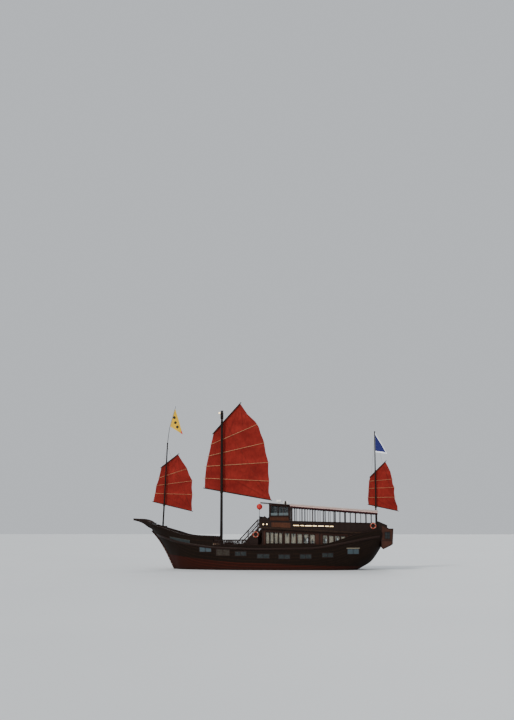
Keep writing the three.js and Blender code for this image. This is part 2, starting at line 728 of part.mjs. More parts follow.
/** One side of the upper deck: a bulwark with a gable at the bow end, then posts and a head rail. */
function upperSide(sign) {
  const { bow, fore, aft, post, pitch, wall, gable } = SIDE_FRAME;
  const low = (x) => upperDeckTop(x) + SEAT;
  const head = (x) => canopyEdge(x) - CANOPY_THICK - SEAT;
  const lintel = (x) => head(x) - 110;
  const count = Math.round((aft - fore - post) / pitch);
  const step = (aft - fore - post) / count;
  const bays = Array.from({ length: count }, (_, i) => {
    const [x0, x1] = [fore + post + i * step, fore + (i + 1) * step];
    return [
      [x0, upperRail(x0)],
      [x1, upperRail(x1)],
      [x1, lintel(x1)],
      [x0, lintel(x0)],
    ];
  });
  const bend = UPPER.taperFrom;
  const foreRun = [
    [bow, low(bow)],
    [bend, low(bend)],
    [bend, head(bend)],
    [fore, head(fore)],
    [fore, upperRail(fore)],
    [gable.aft, upperRail(gable.aft)],
    [gable.x, gable.top],
    [bow, upperRail(bow)],
  ];
  const aftRun = opening(bend, aft, low(bend), head);
  aftRun[1][1] = low(aft);
  const runs = [foreRun, aftRun].map((outline) => {
    const frame = geometryOf(panel(outline, bays, -wall / 2, wall / 2));
    const position = frame.attributes.position;
    for (let i = 0; i < position.count; i += 1) {
      const shift = upperHalf(position.getX(i)) - wall;
      position.setY(i, sign * (position.getY(i) + shift));
    }
    return solid(frame);
  });
  return join(runs);
}

function canopyPlan(inset) {
  const { fore, aft, half } = CANOPY;
  const narrow = UPPER.half - UPPER.aftHalf;
  const side = [
    [fore + inset, half - inset],
    [UPPER.taperFrom, half - inset],
    [aft - inset, half - narrow - inset],
  ];
  return side;
}

/** The long canopy: crowned between two level brims, falling aft, with the mizzen mast's hole. */
function canopy() {
  const { crown, brim } = CANOPY;
  const arch = [-1, -0.75, -0.5, -0.25, 0, 0.25, 0.5, 0.75, 1].map((t) => [t * brim, crown * (1 - t * t)]);
  const across = [[-1, 0], ...arch, [1, 0]];
  const rings = canopyPlan(0).map(([x, half]) => {
    const top = across.map(([s, rise]) => [x, s * half, canopyEdge(x) + rise]);
    return top.concat(top.map(([, y, z]) => [x, y, z - CANOPY_THICK]).reverse());
  });
  const mast = MASTS.mizzen;
  const hole = bar([mast.x, 0, 5000], [mast.x, 0, 7500], mast.r0 + 35, mast.r0 + 35, 16);
  return loft(rings).subtract(hole);
}

/** The valance: a strip of cloth hung round the canopy's edge. */
function valance() {
  const thick = 14;
  const strip = (inset) => {
    const side = canopyPlan(inset);
    return side.concat(side.map(([x, y]) => [x, -y]).reverse());
  };
  const level = plate(strip(4), 0, VALANCE_DROP).subtract(plate(strip(4 + thick), -10, VALANCE_DROP + 10));
  const drop = VALANCE_DROP + CANOPY_THICK + SEAT;
  return slopeAft(level, ROOF_SLOPE, 3150).translate([0, 0, canopyEdge(3150) - drop]);
}

/** Cross beams under the canopy at its two ends, between the side frames. */
function canopyBeam(x) {
  const half = upperHalf(x + 45) - SIDE_FRAME.wall * 1.5 - SEAT;
  const level = box(x - 45, x + 45, -half, half, -110, 0);
  return slopeAft(level, ROOF_SLOPE, x).translate([0, 0, canopyEdge(x) - CANOPY_THICK - SEAT]);
}

const wheelhouseRoofTop = (x) => WHEELHOUSE.roofTop - ROOF_SLOPE * (x - WHEELHOUSE.fore);

function wheelhouse() {
  const { fore, aft, half, wall, roofThick, sill, headDrop } = WHEELHOUSE;
  const floor = (x) => upperDeckTop(x) + SEAT;
  const top = (x) => wheelhouseRoofTop(x) - roofThick - SEAT;
  const head = (x) => top(x) - headDrop;
  const outline = (grow, rise) => [
    [fore - grow, floor(fore) - rise],
    [aft + grow, floor(aft) - rise],
    [aft + grow, top(aft) + rise],
    [fore - grow, top(fore) + rise],
  ];
  const shell = panel(outline(0, 0), [], -half, half);
  const room = panel(outline(-wall, 300), [], -half + wall, half - wall);
  const sideLights = WHEELHOUSE_LIGHTS.side.map(([x0, x1]) =>
    panel(opening(fore + x0, fore + x1, sill, head), [], -half - 50, half + 50),
  );
  const foreLights = WHEELHOUSE_LIGHTS.fore.map(([y0, y1]) =>
    box(fore - 50, fore + wall + 50, y0, y1, sill, head(fore)),
  );
  const way = DOOR.width / 2;
  const doorway = box(aft - wall - 50, aft + 50, -way, way, floor(aft), wheelhouseSill + DOOR.height);
  const cuts = [room, ...sideLights, ...foreLights, doorway];
  return cuts.reduce((whole, cut) => whole.subtract(cut), shell).add(hingeBlocks(wheelhouseDoor));
}

function wheelhouseRoof() {
  const { fore, aft, half, roofTop, roofThick } = WHEELHOUSE;
  const level = box(fore - 850, aft + 40, -half - 220, half + 220, -roofThick, 0);
  return slopeAft(level, ROOF_SLOPE, fore).translate([0, 0, roofTop]);
}

function helm() {
  const [x, high] = [WHEELHOUSE.fore + 620, 880];
  const console = box(x - 380, x - 60, -700, 700, 0, high + 70);
  const pedestal = box(x - 70, x + 60, -90, 90, 0, high + 20);
  const rim = solid(new THREE.TorusGeometry(360, 22, 6, 20).rotateY(Math.PI / 2).translate(x + 120, 0, high));
  const spokes = [0, 1, 2].map((k) => {
    const [c, s] = [Math.cos((k * Math.PI) / 3) * 420, Math.sin((k * Math.PI) / 3) * 420];
    return bar([x + 120, -c, high - s], [x + 120, c, high + s], 14, 14, 6);
  });
  const hub = bar([x + 40, 0, high], [x + 150, 0, high], 60, 60, 10);
  const level = join([console, pedestal, rim, hub, ...spokes]);
  return slopeAft(level, UPPER_DECK_SLOPE, x).translate([0, 0, upperDeckTop(x) + SEAT]);
}

/** A stair from the main deck to the upper deck, with a closed outer side and two hand rails. */
function stair(sign) {
  const { foot, head, inner, outer, steps } = STAIR;
  const floor = MAIN_DECK + SEAT;
  const rise = (upperDeckTop(head) - floor) / (steps + 1);
  const run = (head - foot) / steps;
  const [y0, y1] = sign > 0 ? [inner, outer] : [-outer, -inner];
  const treads = Array.from({ length: steps }, (_, i) => {
    const [nose, top] = [foot + i * run, floor + (i + 1) * rise];
    return box(nose - 30, nose + run, y0 + 20, y1 - 20, top - 45, top);
  });
  const line = (x) => floor + rise * ((x - foot) / run + 0.6);
  const stringer = [
    [foot - 120, floor],
    [foot + 260, floor],
    [head, line(head) - 330],
    [head, line(head) + 60],
    [foot - 120, line(foot - 120) + 60],
  ];
  const closed = [
    [foot - 120, floor],
    [head, floor],
    [head, line(head) + 60],
    [foot - 120, line(foot - 120) + 60],
  ];
  const outerY = sign > 0 ? [y1 - 45, y1] : [y0, y0 + 45];
  const innerY = sign > 0 ? [y0, y0 + 45] : [y1 - 45, y1];
  const sides = [panel(closed, [], ...outerY), panel(stringer, [], ...innerY)];
  const rails = [y0 + 22, y1 - 22].flatMap((y) => {
    const posts = [foot - 60, (foot + head) / 2, head - 60].map((x) =>
      box(x - 25, x + 25, y - 22, y + 22, line(x), line(x) + 900),
    );
    const rail = bar([foot - 120, y, line(foot - 120) + 900], [head, y, line(head) + 900], 34, 34, 8);
    return [...posts, rail];
  });
  return join([...sides, ...treads, ...rails]);
}

const PLATFORM_RAIL = {
  x: UPPER.fore + 60,
  floor: upperDeckTop(UPPER.fore + 30) + SEAT,
  half: STAIR.inner - 60,
  height: 1130,
  bays: 6,
};

/** The fence across the forward end of the upper deck, open where the stairs arrive. */
function platformRail() {
  const { x, floor, half, height, bays } = PLATFORM_RAIL;
  const posts = Array.from({ length: bays + 1 }, (_, i) => {
    const y = -half + (i * 2 * half) / bays;
    return box(x - 30, x + 30, y - 30, y + 30, floor, floor + height - 30);
  });
  const rails = [height, height - 500].map((top) =>
    box(x - 38, x + 38, -half - 38, half + 38, floor + top - 70, floor + top),
  );
  const boards = box(x - 14, x + 14, -half, half, floor + 60, floor + 500);
  return join([...posts, ...rails, boards]);
}

/** The stern gallery: a hollow overhanging cabin with lights in its sides and stern. */
function gallery() {
  const { aft, half, wall } = GALLERY;
  const fore = HULL_AFT + SEAT;
  const outline = [
    [fore, 2350],
    [fore + 40, 2350],
    [fore + 190, 2150],
    [aft - 110, 2640],
    [aft, 4250],
    [aft - 480, 4250],
    [fore, 4720],
  ];
  const shell = panel(outline, [], -half, half);
  const room = panel(
    [
      [fore - 100, 2480],
      [aft - 190, 2740],
      [aft - 100, 4130],
      [fore - 100, 4190],
    ],
    [],
    -half + wall,
    half - wall,
  );
  const well = panel(
    [
      [fore - 100, 4270],
      [aft + 100, 4270],
      [aft + 100, 5000],
      [fore - 100, 5000],
    ],
    [],
    -half + wall,
    half - wall,
  );
  const sideLight = box(fore + 420, fore + 900, -half - 50, half + 50, 3250, 3900);
  const sternLights = [-2200, -1330, -460, 410, 1280].map((y) =>
    box(aft - 400, aft + 50, y, y + 640, 3150, 3900),
  );
  return [room, well, sideLight, ...sternLights].reduce((whole, cut) => whole.subtract(cut), shell);
}

function bench(x0, x1, y0, y1, floorAt, back) {
  const level = join([
    box(x0, x1, y0, y1, 0, 430),
    box(x0, x1, back > 0 ? y1 - 60 : y0, back > 0 ? y1 : y0 + 60, 0, 820),
  ]);
  return slopeAft(level, UPPER_DECK_SLOPE, x0).translate([0, 0, floorAt]);
}

const RING = { r: 265, tube: 60 };

/** A life ring hung against a wall whose line turns inboard by a slope. */
function lifeRing(x, y, z, slope = 0) {
  const ring = new THREE.TorusGeometry(RING.r, RING.tube, 8, 20).rotateX(Math.PI / 2);
  return solid(ring.rotateZ(-Math.atan(slope)).translate(x, y, z));
}

function lantern() {
  const [x, y] = [PLATFORM_RAIL.x, -STAIR.inner + 60];
  const foot = PLATFORM_RAIL.floor + PLATFORM_RAIL.height + SEAT;
  const { post, centre, r } = LANTERN;
  const pole = bar([x, y, foot], [x, y, foot + post], 22, 22, 8);
  const ball = solid(new THREE.SphereGeometry(r, 14, 10).rotateX(Math.PI / 2).translate(x, y, foot + centre));
  return pole.add(ball);
}

/** Stands a piece built about x, from z = 0 up, on the wheelhouse's sloping roof. */
const onRoof = (made, x) => slopeAft(made, ROOF_SLOPE, x).translate([0, 0, wheelhouseRoofTop(x) + SEAT]);

function radome() {
  const [x, y] = [1900, -500];
  const foot = bar([x, y, 0], [x, y, 210], 60, 60, 10);
  const drum = bar([x, y, 190], [x, y, 420], 310, 270, 18);
  return onRoof(foot.add(drum), x);
}

function raftCanister() {
  const [x, y, r] = [2650, -900, 165];
  const drum = bar([x - 250, y, 200], [x + 250, y, 200], r, r, 12);
  const cradle = box(x - 180, x + 180, y - 120, y + 120, 0, 90);
  return onRoof(drum.add(cradle), x);
}

// Moving gear under the stern

function rudder() {
  const { stock, stockR, aft, bottom, thick } = RUDDER;
  const top = (x) => hullLine("keelZ", x) - 60;
  const blade = panel(
    [
      [stock - 330, bottom],
      [aft, bottom + 120],
      [aft, top(stock) + 260],
      [stock + 60, top(stock) - 20],
      [stock - 330, top(stock - 330)],
    ],
    [],
    -thick / 2,
    thick / 2,
  );
  const heel = -DRAUGHT + KEEL_SHOE.height + SEAT;
  const post = bar([stock, 0, heel], [stock, 0, hullLine("keelZ", stock - stockR) - 4], stockR, stockR, 14);
  return blade.add(post);
}

function propeller() {
  const { z, aft, r } = SHAFT;
  const [hubFore, hubAft] = [aft + SEAT, aft + 330];
  const hub = bar([hubFore, 0, z], [hubAft, 0, z], r * 1.4, r * 0.8, 14);
  const shaft = bar([aft - 380, 0, z], [hubAft - 50, 0, z], r * 0.6, r * 0.6, 14);
  const blades = [0, 1, 2, 3].map((k) => {
    const flat = solid(
      new THREE.CylinderGeometry(190, 190, 26, 14).scale(1, 1, 1.15).rotateZ(Math.PI / 2),
    );
    return flat
      .rotate([0, 0, 35])
      .translate([(hubFore + hubAft) / 2, 0, 250])
      .rotate([k * 90, 0, 0])
      .translate([0, 0, z]);
  });
  return join([hub, shaft, ...blades]);
}

// Flags

const FLAG_THICK = 16;

/** The x of a flag's hoist at height z: just aft of the pole that it flies from. */
function hoist(mast, z) {
  if (!mast.staff) return onMast(mast, z)[0] + mastRadius(mast, z) + SEAT;
  const { bend, top, r } = mast.staff;
  const lean = (top[0] - bend[0]) / (top[1] - bend[1]);
  return bend[0] + lean * (z - bend[1]) + Math.hypot(1, lean) * (r + SEAT);
}

/** A triangular flag between two heights of its hoist, its fly at a distance aft. */
function flag(mast, { top, foot, fly, flyZ }) {
  const corners = [[hoist(mast, top), top], [hoist(mast, foot) + fly, flyZ], [hoist(mast, foot), foot]];
  return panel(corners, [], -FLAG_THICK / 2, FLAG_THICK / 2);
}

// The object

const part = new THREE.Group();

/** Adds one named mesh. */
function add(name, made, finish) {
  const mesh = new THREE.Mesh(geometryOf(made), new THREE.MeshStandardMaterial(FINISH[finish]));
  mesh.name = name;
  part.add(mesh);
}

MASTS.fore.foot = heightOn(FOREDECK, MASTS.fore.x - MASTS.fore.r0) - MASTS.fore.rake * MASTS.fore.r0;
MASTS.mizzen.foot = upperDeckTop(MASTS.mizzen.x - MASTS.mizzen.r0);

add("hull", hull(), "hull");
add("keel", keel(), "hull");
add("stem", stem(), "hull");
add("bow_transom", bowTransom(), "trim");
add("windlass_frame", windlassFrame(), "steel");
add("windlass_barrel", windlassBarrel(), "trim");
add("saloon", saloon(), "cabin");
add("upper_deck", upperDeck(), "deck");
add("canopy", canopy(), "canopy");
add("valance", valance(), "valance");
add("canopy_beam_fore", canopyBeam(SIDE_FRAME.fore + 120), "trim");
add("canopy_beam_aft", canopyBeam(SIDE_FRAME.aft - 450), "trim");
add("wheelhouse", wheelhouse(), "cabin");
add("wheelhouse_roof", wheelhouseRoof(), "trim");
add("helm", helm(), "cabin");
add("platform_rail", platformRail(), "trim");
add("gallery", gallery(), "cabin");
add("lantern", lantern(), "lantern");
add("radome", radome(), "white");
add("raft_canister", raftCanister(), "white");
add("rudder", rudder(), "hull");
add("propeller", propeller(), "bronze");

SIDES.forEach(({ name, sign }) => {
  add(`bulwark_${name}`, bulwark(sign), "hull");
  add(`bow_wing_${name}`, bowWing(sign), "trim");
  add(`wale_${name}`, wale(sign), "trim");
  add(`balustrade_${name}`, balustrade(sign), "trim");
  add(`upper_side_${name}`, upperSide(sign), "cabin");
  add(`stair_${name}`, stair(sign), "cabin");
  const inner = UPPER.half - 190;
  const [b0, b1] = sign > 0 ? [inner - 480, inner] : [-inner, -inner + 480];
  add(`upper_bench_${name}`, bench(4200, 7900, b0, b1, upperDeckTop(4200) + SEAT, sign), "deck");
  add(`life_ring_fore_${name}`, lifeRing(-350, sign * (STAIR.outer + RING.tube + SEAT), 3660), "ring");
  const aftX = 11900;
  const narrowing = (UPPER.half - UPPER.aftHalf) / (UPPER.aft - UPPER.taperFrom);
  const hang = upperHalf(aftX) - SIDE_FRAME.wall / 2 + (RING.tube + SEAT) * Math.hypot(1, narrowing);
  add(`life_ring_aft_${name}`, lifeRing(aftX, sign * hang, 4560, sign * narrowing), "ring");
});

Object.entries(SAILS).forEach(([name, sail]) => {
  const mast = MASTS[name];
  add(`${name}_mast`, mastSolid(mast, sail), "spar");
  add(`${name}_yard`, spar(mast, sail, sail.yard, PARREL.rise), "spar");
  add(`${name}_boom`, spar(mast, sail, sail.boom, PARREL.drop), "spar");
  add(`${name}_sail`, sailSolid(mast, sail), "sail");
});

add("saloon_door", doorLeaf(saloonDoor), "cabin");
add("wheelhouse_door", doorLeaf(wheelhouseDoor), "cabin");

add("fore_flag", flag(MASTS.fore, { top: 17300, foot: 15360, fly: 1400, flyZ: 14460 }), "yellow");
add("mizzen_flag", flag(MASTS.mizzen, { top: 14480, foot: 12400, fly: 1290, flyZ: 12200 }), "blue");

export default part;
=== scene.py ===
"""An excursion junk in her working finish: planked hull, battened red sails, cabins, rails, lamps and rigging.

Metres, in the frame of the solids: the origin lies on the waterline amidships, +X runs aft, +Y to starboard
and +Z up. Each sub-assembly is a class with its sizes as fields; each finish is a frozen dataclass.
"""

from __future__ import annotations

import logging
import math
from dataclasses import dataclass, field
from enum import Enum
from typing import Callable, Iterable, Sequence

import bmesh
import bpy
import numpy as np
from bpy.types import Material, NodeSocket
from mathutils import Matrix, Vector


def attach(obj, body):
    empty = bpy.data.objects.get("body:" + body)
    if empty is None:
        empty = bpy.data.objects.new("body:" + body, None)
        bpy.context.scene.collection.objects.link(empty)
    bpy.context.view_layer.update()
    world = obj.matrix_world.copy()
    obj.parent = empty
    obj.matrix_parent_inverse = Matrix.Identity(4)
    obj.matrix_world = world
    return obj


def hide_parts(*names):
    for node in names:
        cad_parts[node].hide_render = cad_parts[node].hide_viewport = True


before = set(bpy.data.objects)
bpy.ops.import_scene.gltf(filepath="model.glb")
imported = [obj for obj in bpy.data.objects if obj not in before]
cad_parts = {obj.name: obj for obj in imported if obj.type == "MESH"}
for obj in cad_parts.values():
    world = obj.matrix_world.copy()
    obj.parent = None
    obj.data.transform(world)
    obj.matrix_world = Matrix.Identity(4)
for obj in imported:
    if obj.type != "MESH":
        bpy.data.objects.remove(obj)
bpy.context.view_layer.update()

Array = np.ndarray
Number = float | Array
Vec = Sequence[float]
Line = tuple[tuple[float, float], ...]
Spar = tuple[float, float, float, float]
AFT, STARBOARD, UP = (1, 0, 0), (0, 1, 0), (0, 0, 1)
log = logging.getLogger("junk")


class Body(str, Enum):
    """The bodies that pieces ride on."""

    HULL = "hull"
    FORE = "fore_rig"
    MAIN = "main_rig"
    MIZZEN = "mizzen_rig"
    RUDDER = "rudder"
    PROPELLER = "propeller"
    SALOON_DOOR = "saloon_door"
    WHEELHOUSE_DOOR = "wheelhouse_door"
    WINDLASS = "windlass"


class Side(Enum):
    """The two sides of the boat, with the sign of y."""

    PORT = -1
    STARBOARD = 1

    @property
    def label(self) -> str:
        """The side's name in a piece's name."""
        return self.name.lower()

    @property
    def out(self) -> tuple[int, int, int]:
        """The direction away from the middle of the boat."""
        return (0, self.value, 0)


def linear(text: str) -> Array:
    """A hex colour as linear red, green and blue."""
    channels = np.array([int(text[i : i + 2], 16) / 255 for i in (1, 3, 5)])
    return np.where(channels <= 0.04045, channels / 12.92, ((channels + 0.055) / 1.055) ** 2.4)


def lighter(colour: Array, by: Number) -> Array:
    """A colour multiplied and held at 1."""
    return np.minimum(colour * by, 1)


# Finishes


class Weave:
    """A material's node tree, with short calls for the nodes that the finishes share."""

    def __init__(self, name: str) -> None:
        """Starts a material with its shader wired to its output."""
        self.material = bpy.data.materials.new(name)
        self.material.use_nodes = True
        self.nodes = self.material.node_tree.nodes
        self.links = self.material.node_tree.links
        self.shader = self.nodes["Principled BSDF"]

    def add(self, kind: str, inputs: dict | None = None, **settings) -> bpy.types.Node:
        """Adds a node.

        Args:
            kind: The node's type, without its ShaderNode prefix.
            inputs: Values or sockets for its inputs, by name or index.
            settings: Attributes of the node.

        Returns:
            The node.
        """
        node = self.nodes.new("ShaderNode" + kind)
        for key, value in settings.items():
            setattr(node, key, value)
        for key, value in (inputs or {}).items():
            self.feed(node.inputs[key], value)
        return node

    def feed(self, socket: NodeSocket, value: object) -> None:
        """Links a socket to another, or sets its value."""
        if isinstance(value, NodeSocket):
            self.links.new(value, socket)
        elif socket.type == "RGBA":
            socket.default_value = (*value[:3], 1.0)
        else:
            socket.default_value = value

    def place(self, scale: Vec = (1, 1, 1), uv: bool = False) -> NodeSocket:
        """Object or UV coordinates, scaled."""
        source = self.add("TexCoord").outputs["UV" if uv else "Object"]
        return self.add("Mapping", {"Vector": source, "Scale": tuple(scale)}).outputs["Vector"]

    def noise(self, where: NodeSocket, scale: float, detail: float = 4.0, rough: float = 0.55) -> NodeSocket:
        """Fractal noise from 0 to 1."""
        inputs = {"Vector": where, "Scale": scale, "Detail": detail, "Roughness": rough}
        return self.add("TexNoise", inputs).outputs["Fac"]

    def waves(self, scale: float, direction: str) -> NodeSocket:
        """Fine parallel threads across the UV."""
        inputs = {"Vector": self.place(uv=True), "Scale": scale}
        return self.add("TexWave", inputs, bands_direction=direction).outputs["Fac"]

    def maths(self, operation: str, a: object, b: object = 0.0) -> NodeSocket:
        """One arithmetic step."""
        return self.add("Math", {0: a, 1: b}, operation=operation).outputs[0]

    def times(self, a: object, b: object) -> NodeSocket:
        """A product."""
        return self.maths("MULTIPLY", a, b)

    def span(self, value: NodeSocket, low: float, high: float, out: tuple[float, float] = (0, 1)) -> NodeSocket:
        """Maps low..high to a range, held at both ends."""
        inputs = {"Value": value, "From Min": low, "From Max": high, "To Min": out[0], "To Max": out[1]}
        return self.add("MapRange", inputs, clamp=True).outputs[0]

    def mix(self, share: object, a: object, b: object) -> NodeSocket:
        """Mixes two colours."""
        node = self.add("Mix", data_type="RGBA")
        colours = [s for s in node.inputs if s.type == "RGBA"]
        self.feed(node.inputs["Factor"], share)
        self.feed(colours[0], a)
        self.feed(colours[1], b)
        return next(s for s in node.outputs if s.type == "RGBA")

    def wash(self, under: object, mask: NodeSocket, low: float, high: float, most: float, tone: Vec) -> NodeSocket:
        """Lays a tone over a colour: none where the mask is low or less, and most where it is high or more."""
        return self.mix(self.span(mask, low, high, (0, most)), under, tone)

    def axes(self, where: NodeSocket) -> tuple[NodeSocket, ...]:
        """The x, y and z of a vector."""
        return tuple(self.add("SeparateXYZ", {0: where}).outputs)

    def attribute(self, name: str) -> NodeSocket:
        """A per-point number of the mesh."""
        return self.add("Attribute", attribute_name=name).outputs["Fac"]

    def seams(self, along: NodeSocket, pitch: float, width: float) -> tuple[NodeSocket, NodeSocket]:
        """Lines at a pitch.

        Args:
            along: The coordinate that the lines cut.
            pitch: Metres between lines.
            width: Metres from a line's middle to its edge.

        Returns:
            The line's depth from 0 to 1, and the number of the strip between two lines.
        """
        cell = self.maths("DIVIDE", along, pitch)
        off = self.maths("ABSOLUTE", self.maths("SUBTRACT", self.maths("FRACT", cell), 0.5))
        return self.span(off, 0.5 - width / pitch, 0.5 - 0.2 * width / pitch), self.maths("FLOOR", cell)

    def jitter(self, number: NodeSocket) -> NodeSocket:
        """A steady random value from 0 to 1 for each whole number."""
        return self.add("TexWhiteNoise", {"W": number}, noise_dimensions="1D").outputs["Value"]

    def finish(self, colour: object, rough: object, height: object, relief: float, **values: object) -> Material:
        """Wires the shader.

        Args:
            colour: The base colour.
            rough: The roughness.
            height: A relief from 0 to 1, or None.
            relief: Metres that the relief stands.
            values: Other shader inputs by name, underscores for spaces.

        Returns:
            The material.
        """
        for key, value in {"Base_Color": colour, "Roughness": rough, **values}.items():
            self.feed(self.shader.inputs[key.replace("_", " ")], value)
        if height is not None:
            bump = self.add("Bump", {"Height": height, "Distance": relief, "Strength": 1.0})
            self.links.new(bump.outputs["Normal"], self.shader.inputs["Normal"])
        return self.material


class Grain(Enum):
    """The axis that a plank's grain follows: the stretch of the noise along x, y and z."""

    X = (0.12, 1.0, 1.0)
    Y = (1.0, 0.12, 1.0)
    Z = (1.0, 1.0, 0.12)


@dataclass(frozen=True)
class Finish:
    """A finish that makes one material, once."""

    name: str
    slot: str
    colour: str
    rough: float = 0.6

    @property
    def base(self) -> Array:
        """The colour as linear red, green and blue."""
        return linear(self.colour)

    def material(self) -> Material:
        """The finish's material, made on its first use."""
        found = bpy.data.materials.get(self.name)
        return found if found else self.make(Weave(self.name))

    def make(self, weave: Weave) -> Material:
        """Builds the material's nodes; each kind of finish has its own."""
        raise NotImplementedError

    def worn(self, weave: Weave, mask: NodeSocket, low: float, high: float, less: float, more: float) -> NodeSocket:
        """The roughness, lower by less where the mask is low and higher by more where it is high."""
        return weave.span(mask, low, high, (self.rough - less, self.rough + more))


@dataclass(frozen=True)
class Wood(Finish):
    """Varnished or oiled timber: boards at a pitch across one axis, grain along another."""

    grain: Grain = Grain.X
    across: int = 2
    pitch: float = 0.14
    seam: float = 0.006
    varnish: float = 0.25
    pale: float = 1.6
    wear: float = 0.25

    def make(self, weave: Weave) -> Material:
        """Grain noise drawn out along the boards, each board its own tone, dark seams and paler worn patches."""
        base = self.base
        plain = weave.place()
        line, board = weave.seams(weave.axes(plain)[self.across], self.pitch, self.seam)
        tone = weave.jitter(board)
        stretched = weave.place([v * 14 for v in self.grain.value])
        shift = weave.add("CombineXYZ", {0: tone, 1: tone, 2: tone}).outputs[0]
        shifted = weave.add("VectorMath", {0: stretched, 1: shift}, operation="ADD").outputs[0]
        streak = weave.noise(shifted, 1.6, 8.0, 0.62)
        fine = weave.noise(shifted, 9.0, 5.0, 0.6)
        colour = weave.mix(weave.span(streak, 0.3, 0.7), base * 0.55, lighter(base, self.pale))
        colour = weave.wash(colour, tone, 0, 1, 0.5, base * 0.8)
        patch = weave.noise(plain, 0.9, 6.0, 0.65)
        colour = weave.wash(colour, patch, 0.55, 0.75, self.wear, np.minimum(base * 2.1 + 0.012, 1))
        colour = weave.mix(weave.times(line, 0.8), colour, base * 0.18)
        rough = self.worn(weave, fine, 0.3, 0.7, 0.08, 0.1)
        height = weave.maths("SUBTRACT", weave.times(fine, 0.25), line)
        gloss = {"Coat_Weight": self.varnish, "Coat_Roughness": 0.3, "Specular_IOR_Level": 0.16}
        return weave.finish(colour, rough, height, 0.003, **gloss)


@dataclass(frozen=True)
class Bottom(Finish):
    """The hull's outer planking: tarred strakes over a red-brown band at the water, stained and salt-streaked, with
    painted shade along the waterline.
    """

    band: str = "#3c160d"

    def make(self, weave: Weave) -> Material:
        """Strakes from the piece's own UV, butts staggered strake by strake, the band by its height above the line."""
        base, red = self.base, linear(self.band)
        along, girth, _ = weave.axes(weave.place(uv=True))
        seam, strake = weave.seams(girth, 1.0, 0.05)
        shifted = weave.maths("ADD", along, weave.times(weave.jitter(strake), 7.0))
        butt, plank = weave.seams(shifted, 4.2, 0.008)
        each = weave.jitter(weave.maths("ADD", weave.times(strake, 17.3), plank))
        streak = weave.noise(weave.place((0.8, 6.0, 6.0)), 2.4, 9.0, 0.65)
        fine = weave.noise(weave.place((2.0, 24.0, 24.0)), 3.0, 5.0)
        drips = weave.noise(weave.place((3.2, 3.2, 0.22)), 2.2, 7.0, 0.6)
        colour = weave.mix(weave.span(streak, 0.28, 0.72), base * 0.5, base * 1.9)
        colour = weave.wash(colour, each, 0, 1, 0.55, base * 0.72)
        paint = weave.mix(weave.span(streak, 0.3, 0.72), red * 0.75, red * 1.15)
        above = weave.attribute("above_band")
        ragged = weave.span(weave.noise(weave.place(), 3.0, 8.0), 0.2, 0.8, (-0.03, 0.03))
        colour = weave.mix(weave.span(weave.maths("ADD", above, ragged), 0.0, 0.03), paint, colour)
        colour = weave.wash(colour, drips, 0.55, 0.78, 0.4, base * 2.2 + 0.006)
        # Painted shade: near-black over the planking from the waterline up to 0.35 m, broken up by fine noise.
        low = weave.span(weave.attribute("height"), 0.0, 0.35, (0.85, 0.0))
        painted_waterline_shade = weave.times(low, weave.span(fine, 0.3, 0.6))
        colour = weave.mix(painted_waterline_shade, colour, (0.012, 0.011, 0.008))
        lines = weave.maths("MAXIMUM", seam, weave.times(butt, 0.8))
        colour = weave.mix(weave.times(lines, 0.5), colour, base * 0.2)
        height = weave.maths("SUBTRACT", weave.times(fine, 0.3), lines)
        rough = self.worn(weave, streak, 0.3, 0.7, 0.1, 0.12)
        return weave.finish(colour, rough, height, 0.002, Specular_IOR_Level=0.1)


@dataclass(frozen=True)
class Sailcloth(Finish):
    """Dyed cotton sailcloth: seamed cloths, weave, faded and grimed patches, and painted shade in its folds."""

    cloth: float = 0.72

    def make(self, weave: Weave) -> Material:
        """UV in metres on the cut: narrow cloths sewn side by side, each its own shade, with sun fade and mildew, and
        painted shade darkening the folds.
        """
        base = self.base
        u = weave.axes(weave.place(uv=True))[0]
        seam, strip = weave.seams(u, self.cloth, 0.012)
        shade = weave.jitter(strip)
        cloud = weave.noise(weave.place((0.5, 0.9, 1), uv=True), 0.9, 9.0, 0.62)
        grime = weave.noise(weave.place((1.0, 0.35, 1), uv=True), 2.2, 8.0, 0.6)
        faded = lighter(base, (1.18, 1.5, 1.4))
        colour = weave.mix(weave.span(cloud, 0.3, 0.72), base * (0.62, 0.5, 0.5), faded)
        colour = weave.wash(colour, shade, 0, 1, 0.28, base * (0.8, 0.65, 0.7))
        colour = weave.wash(colour, grime, 0.58, 0.8, 0.45, base * (0.42, 0.3, 0.4))
        mottle = weave.noise(weave.place((3.0, 1.1, 1), uv=True), 1.6, 4.0, 0.5)
        colour = weave.wash(colour, mottle, 0.42, 0.66, 0.38, base * (0.5, 0.4, 0.45))
        colour = weave.mix(weave.times(seam, 0.45), colour, base * 0.45)
        # Painted shade: the cloth darkens with the depth of the fold troughs stored on the mesh.
        fold = weave.attribute("fold")
        colour = weave.wash(colour, fold, 0.05, 0.8, 0.85, base * (0.22, 0.14, 0.18))
        threads = weave.times(weave.waves(60.0, "X"), weave.waves(60.0, "Y"))
        height = weave.maths("ADD", weave.times(threads, 0.35), seam)
        sheen = {"Sheen_Weight": 0.06, "Sheen_Roughness": 0.5, "Specular_IOR_Level": 0.15}
        return weave.finish(colour, self.rough, height, 0.0025, **sheen)


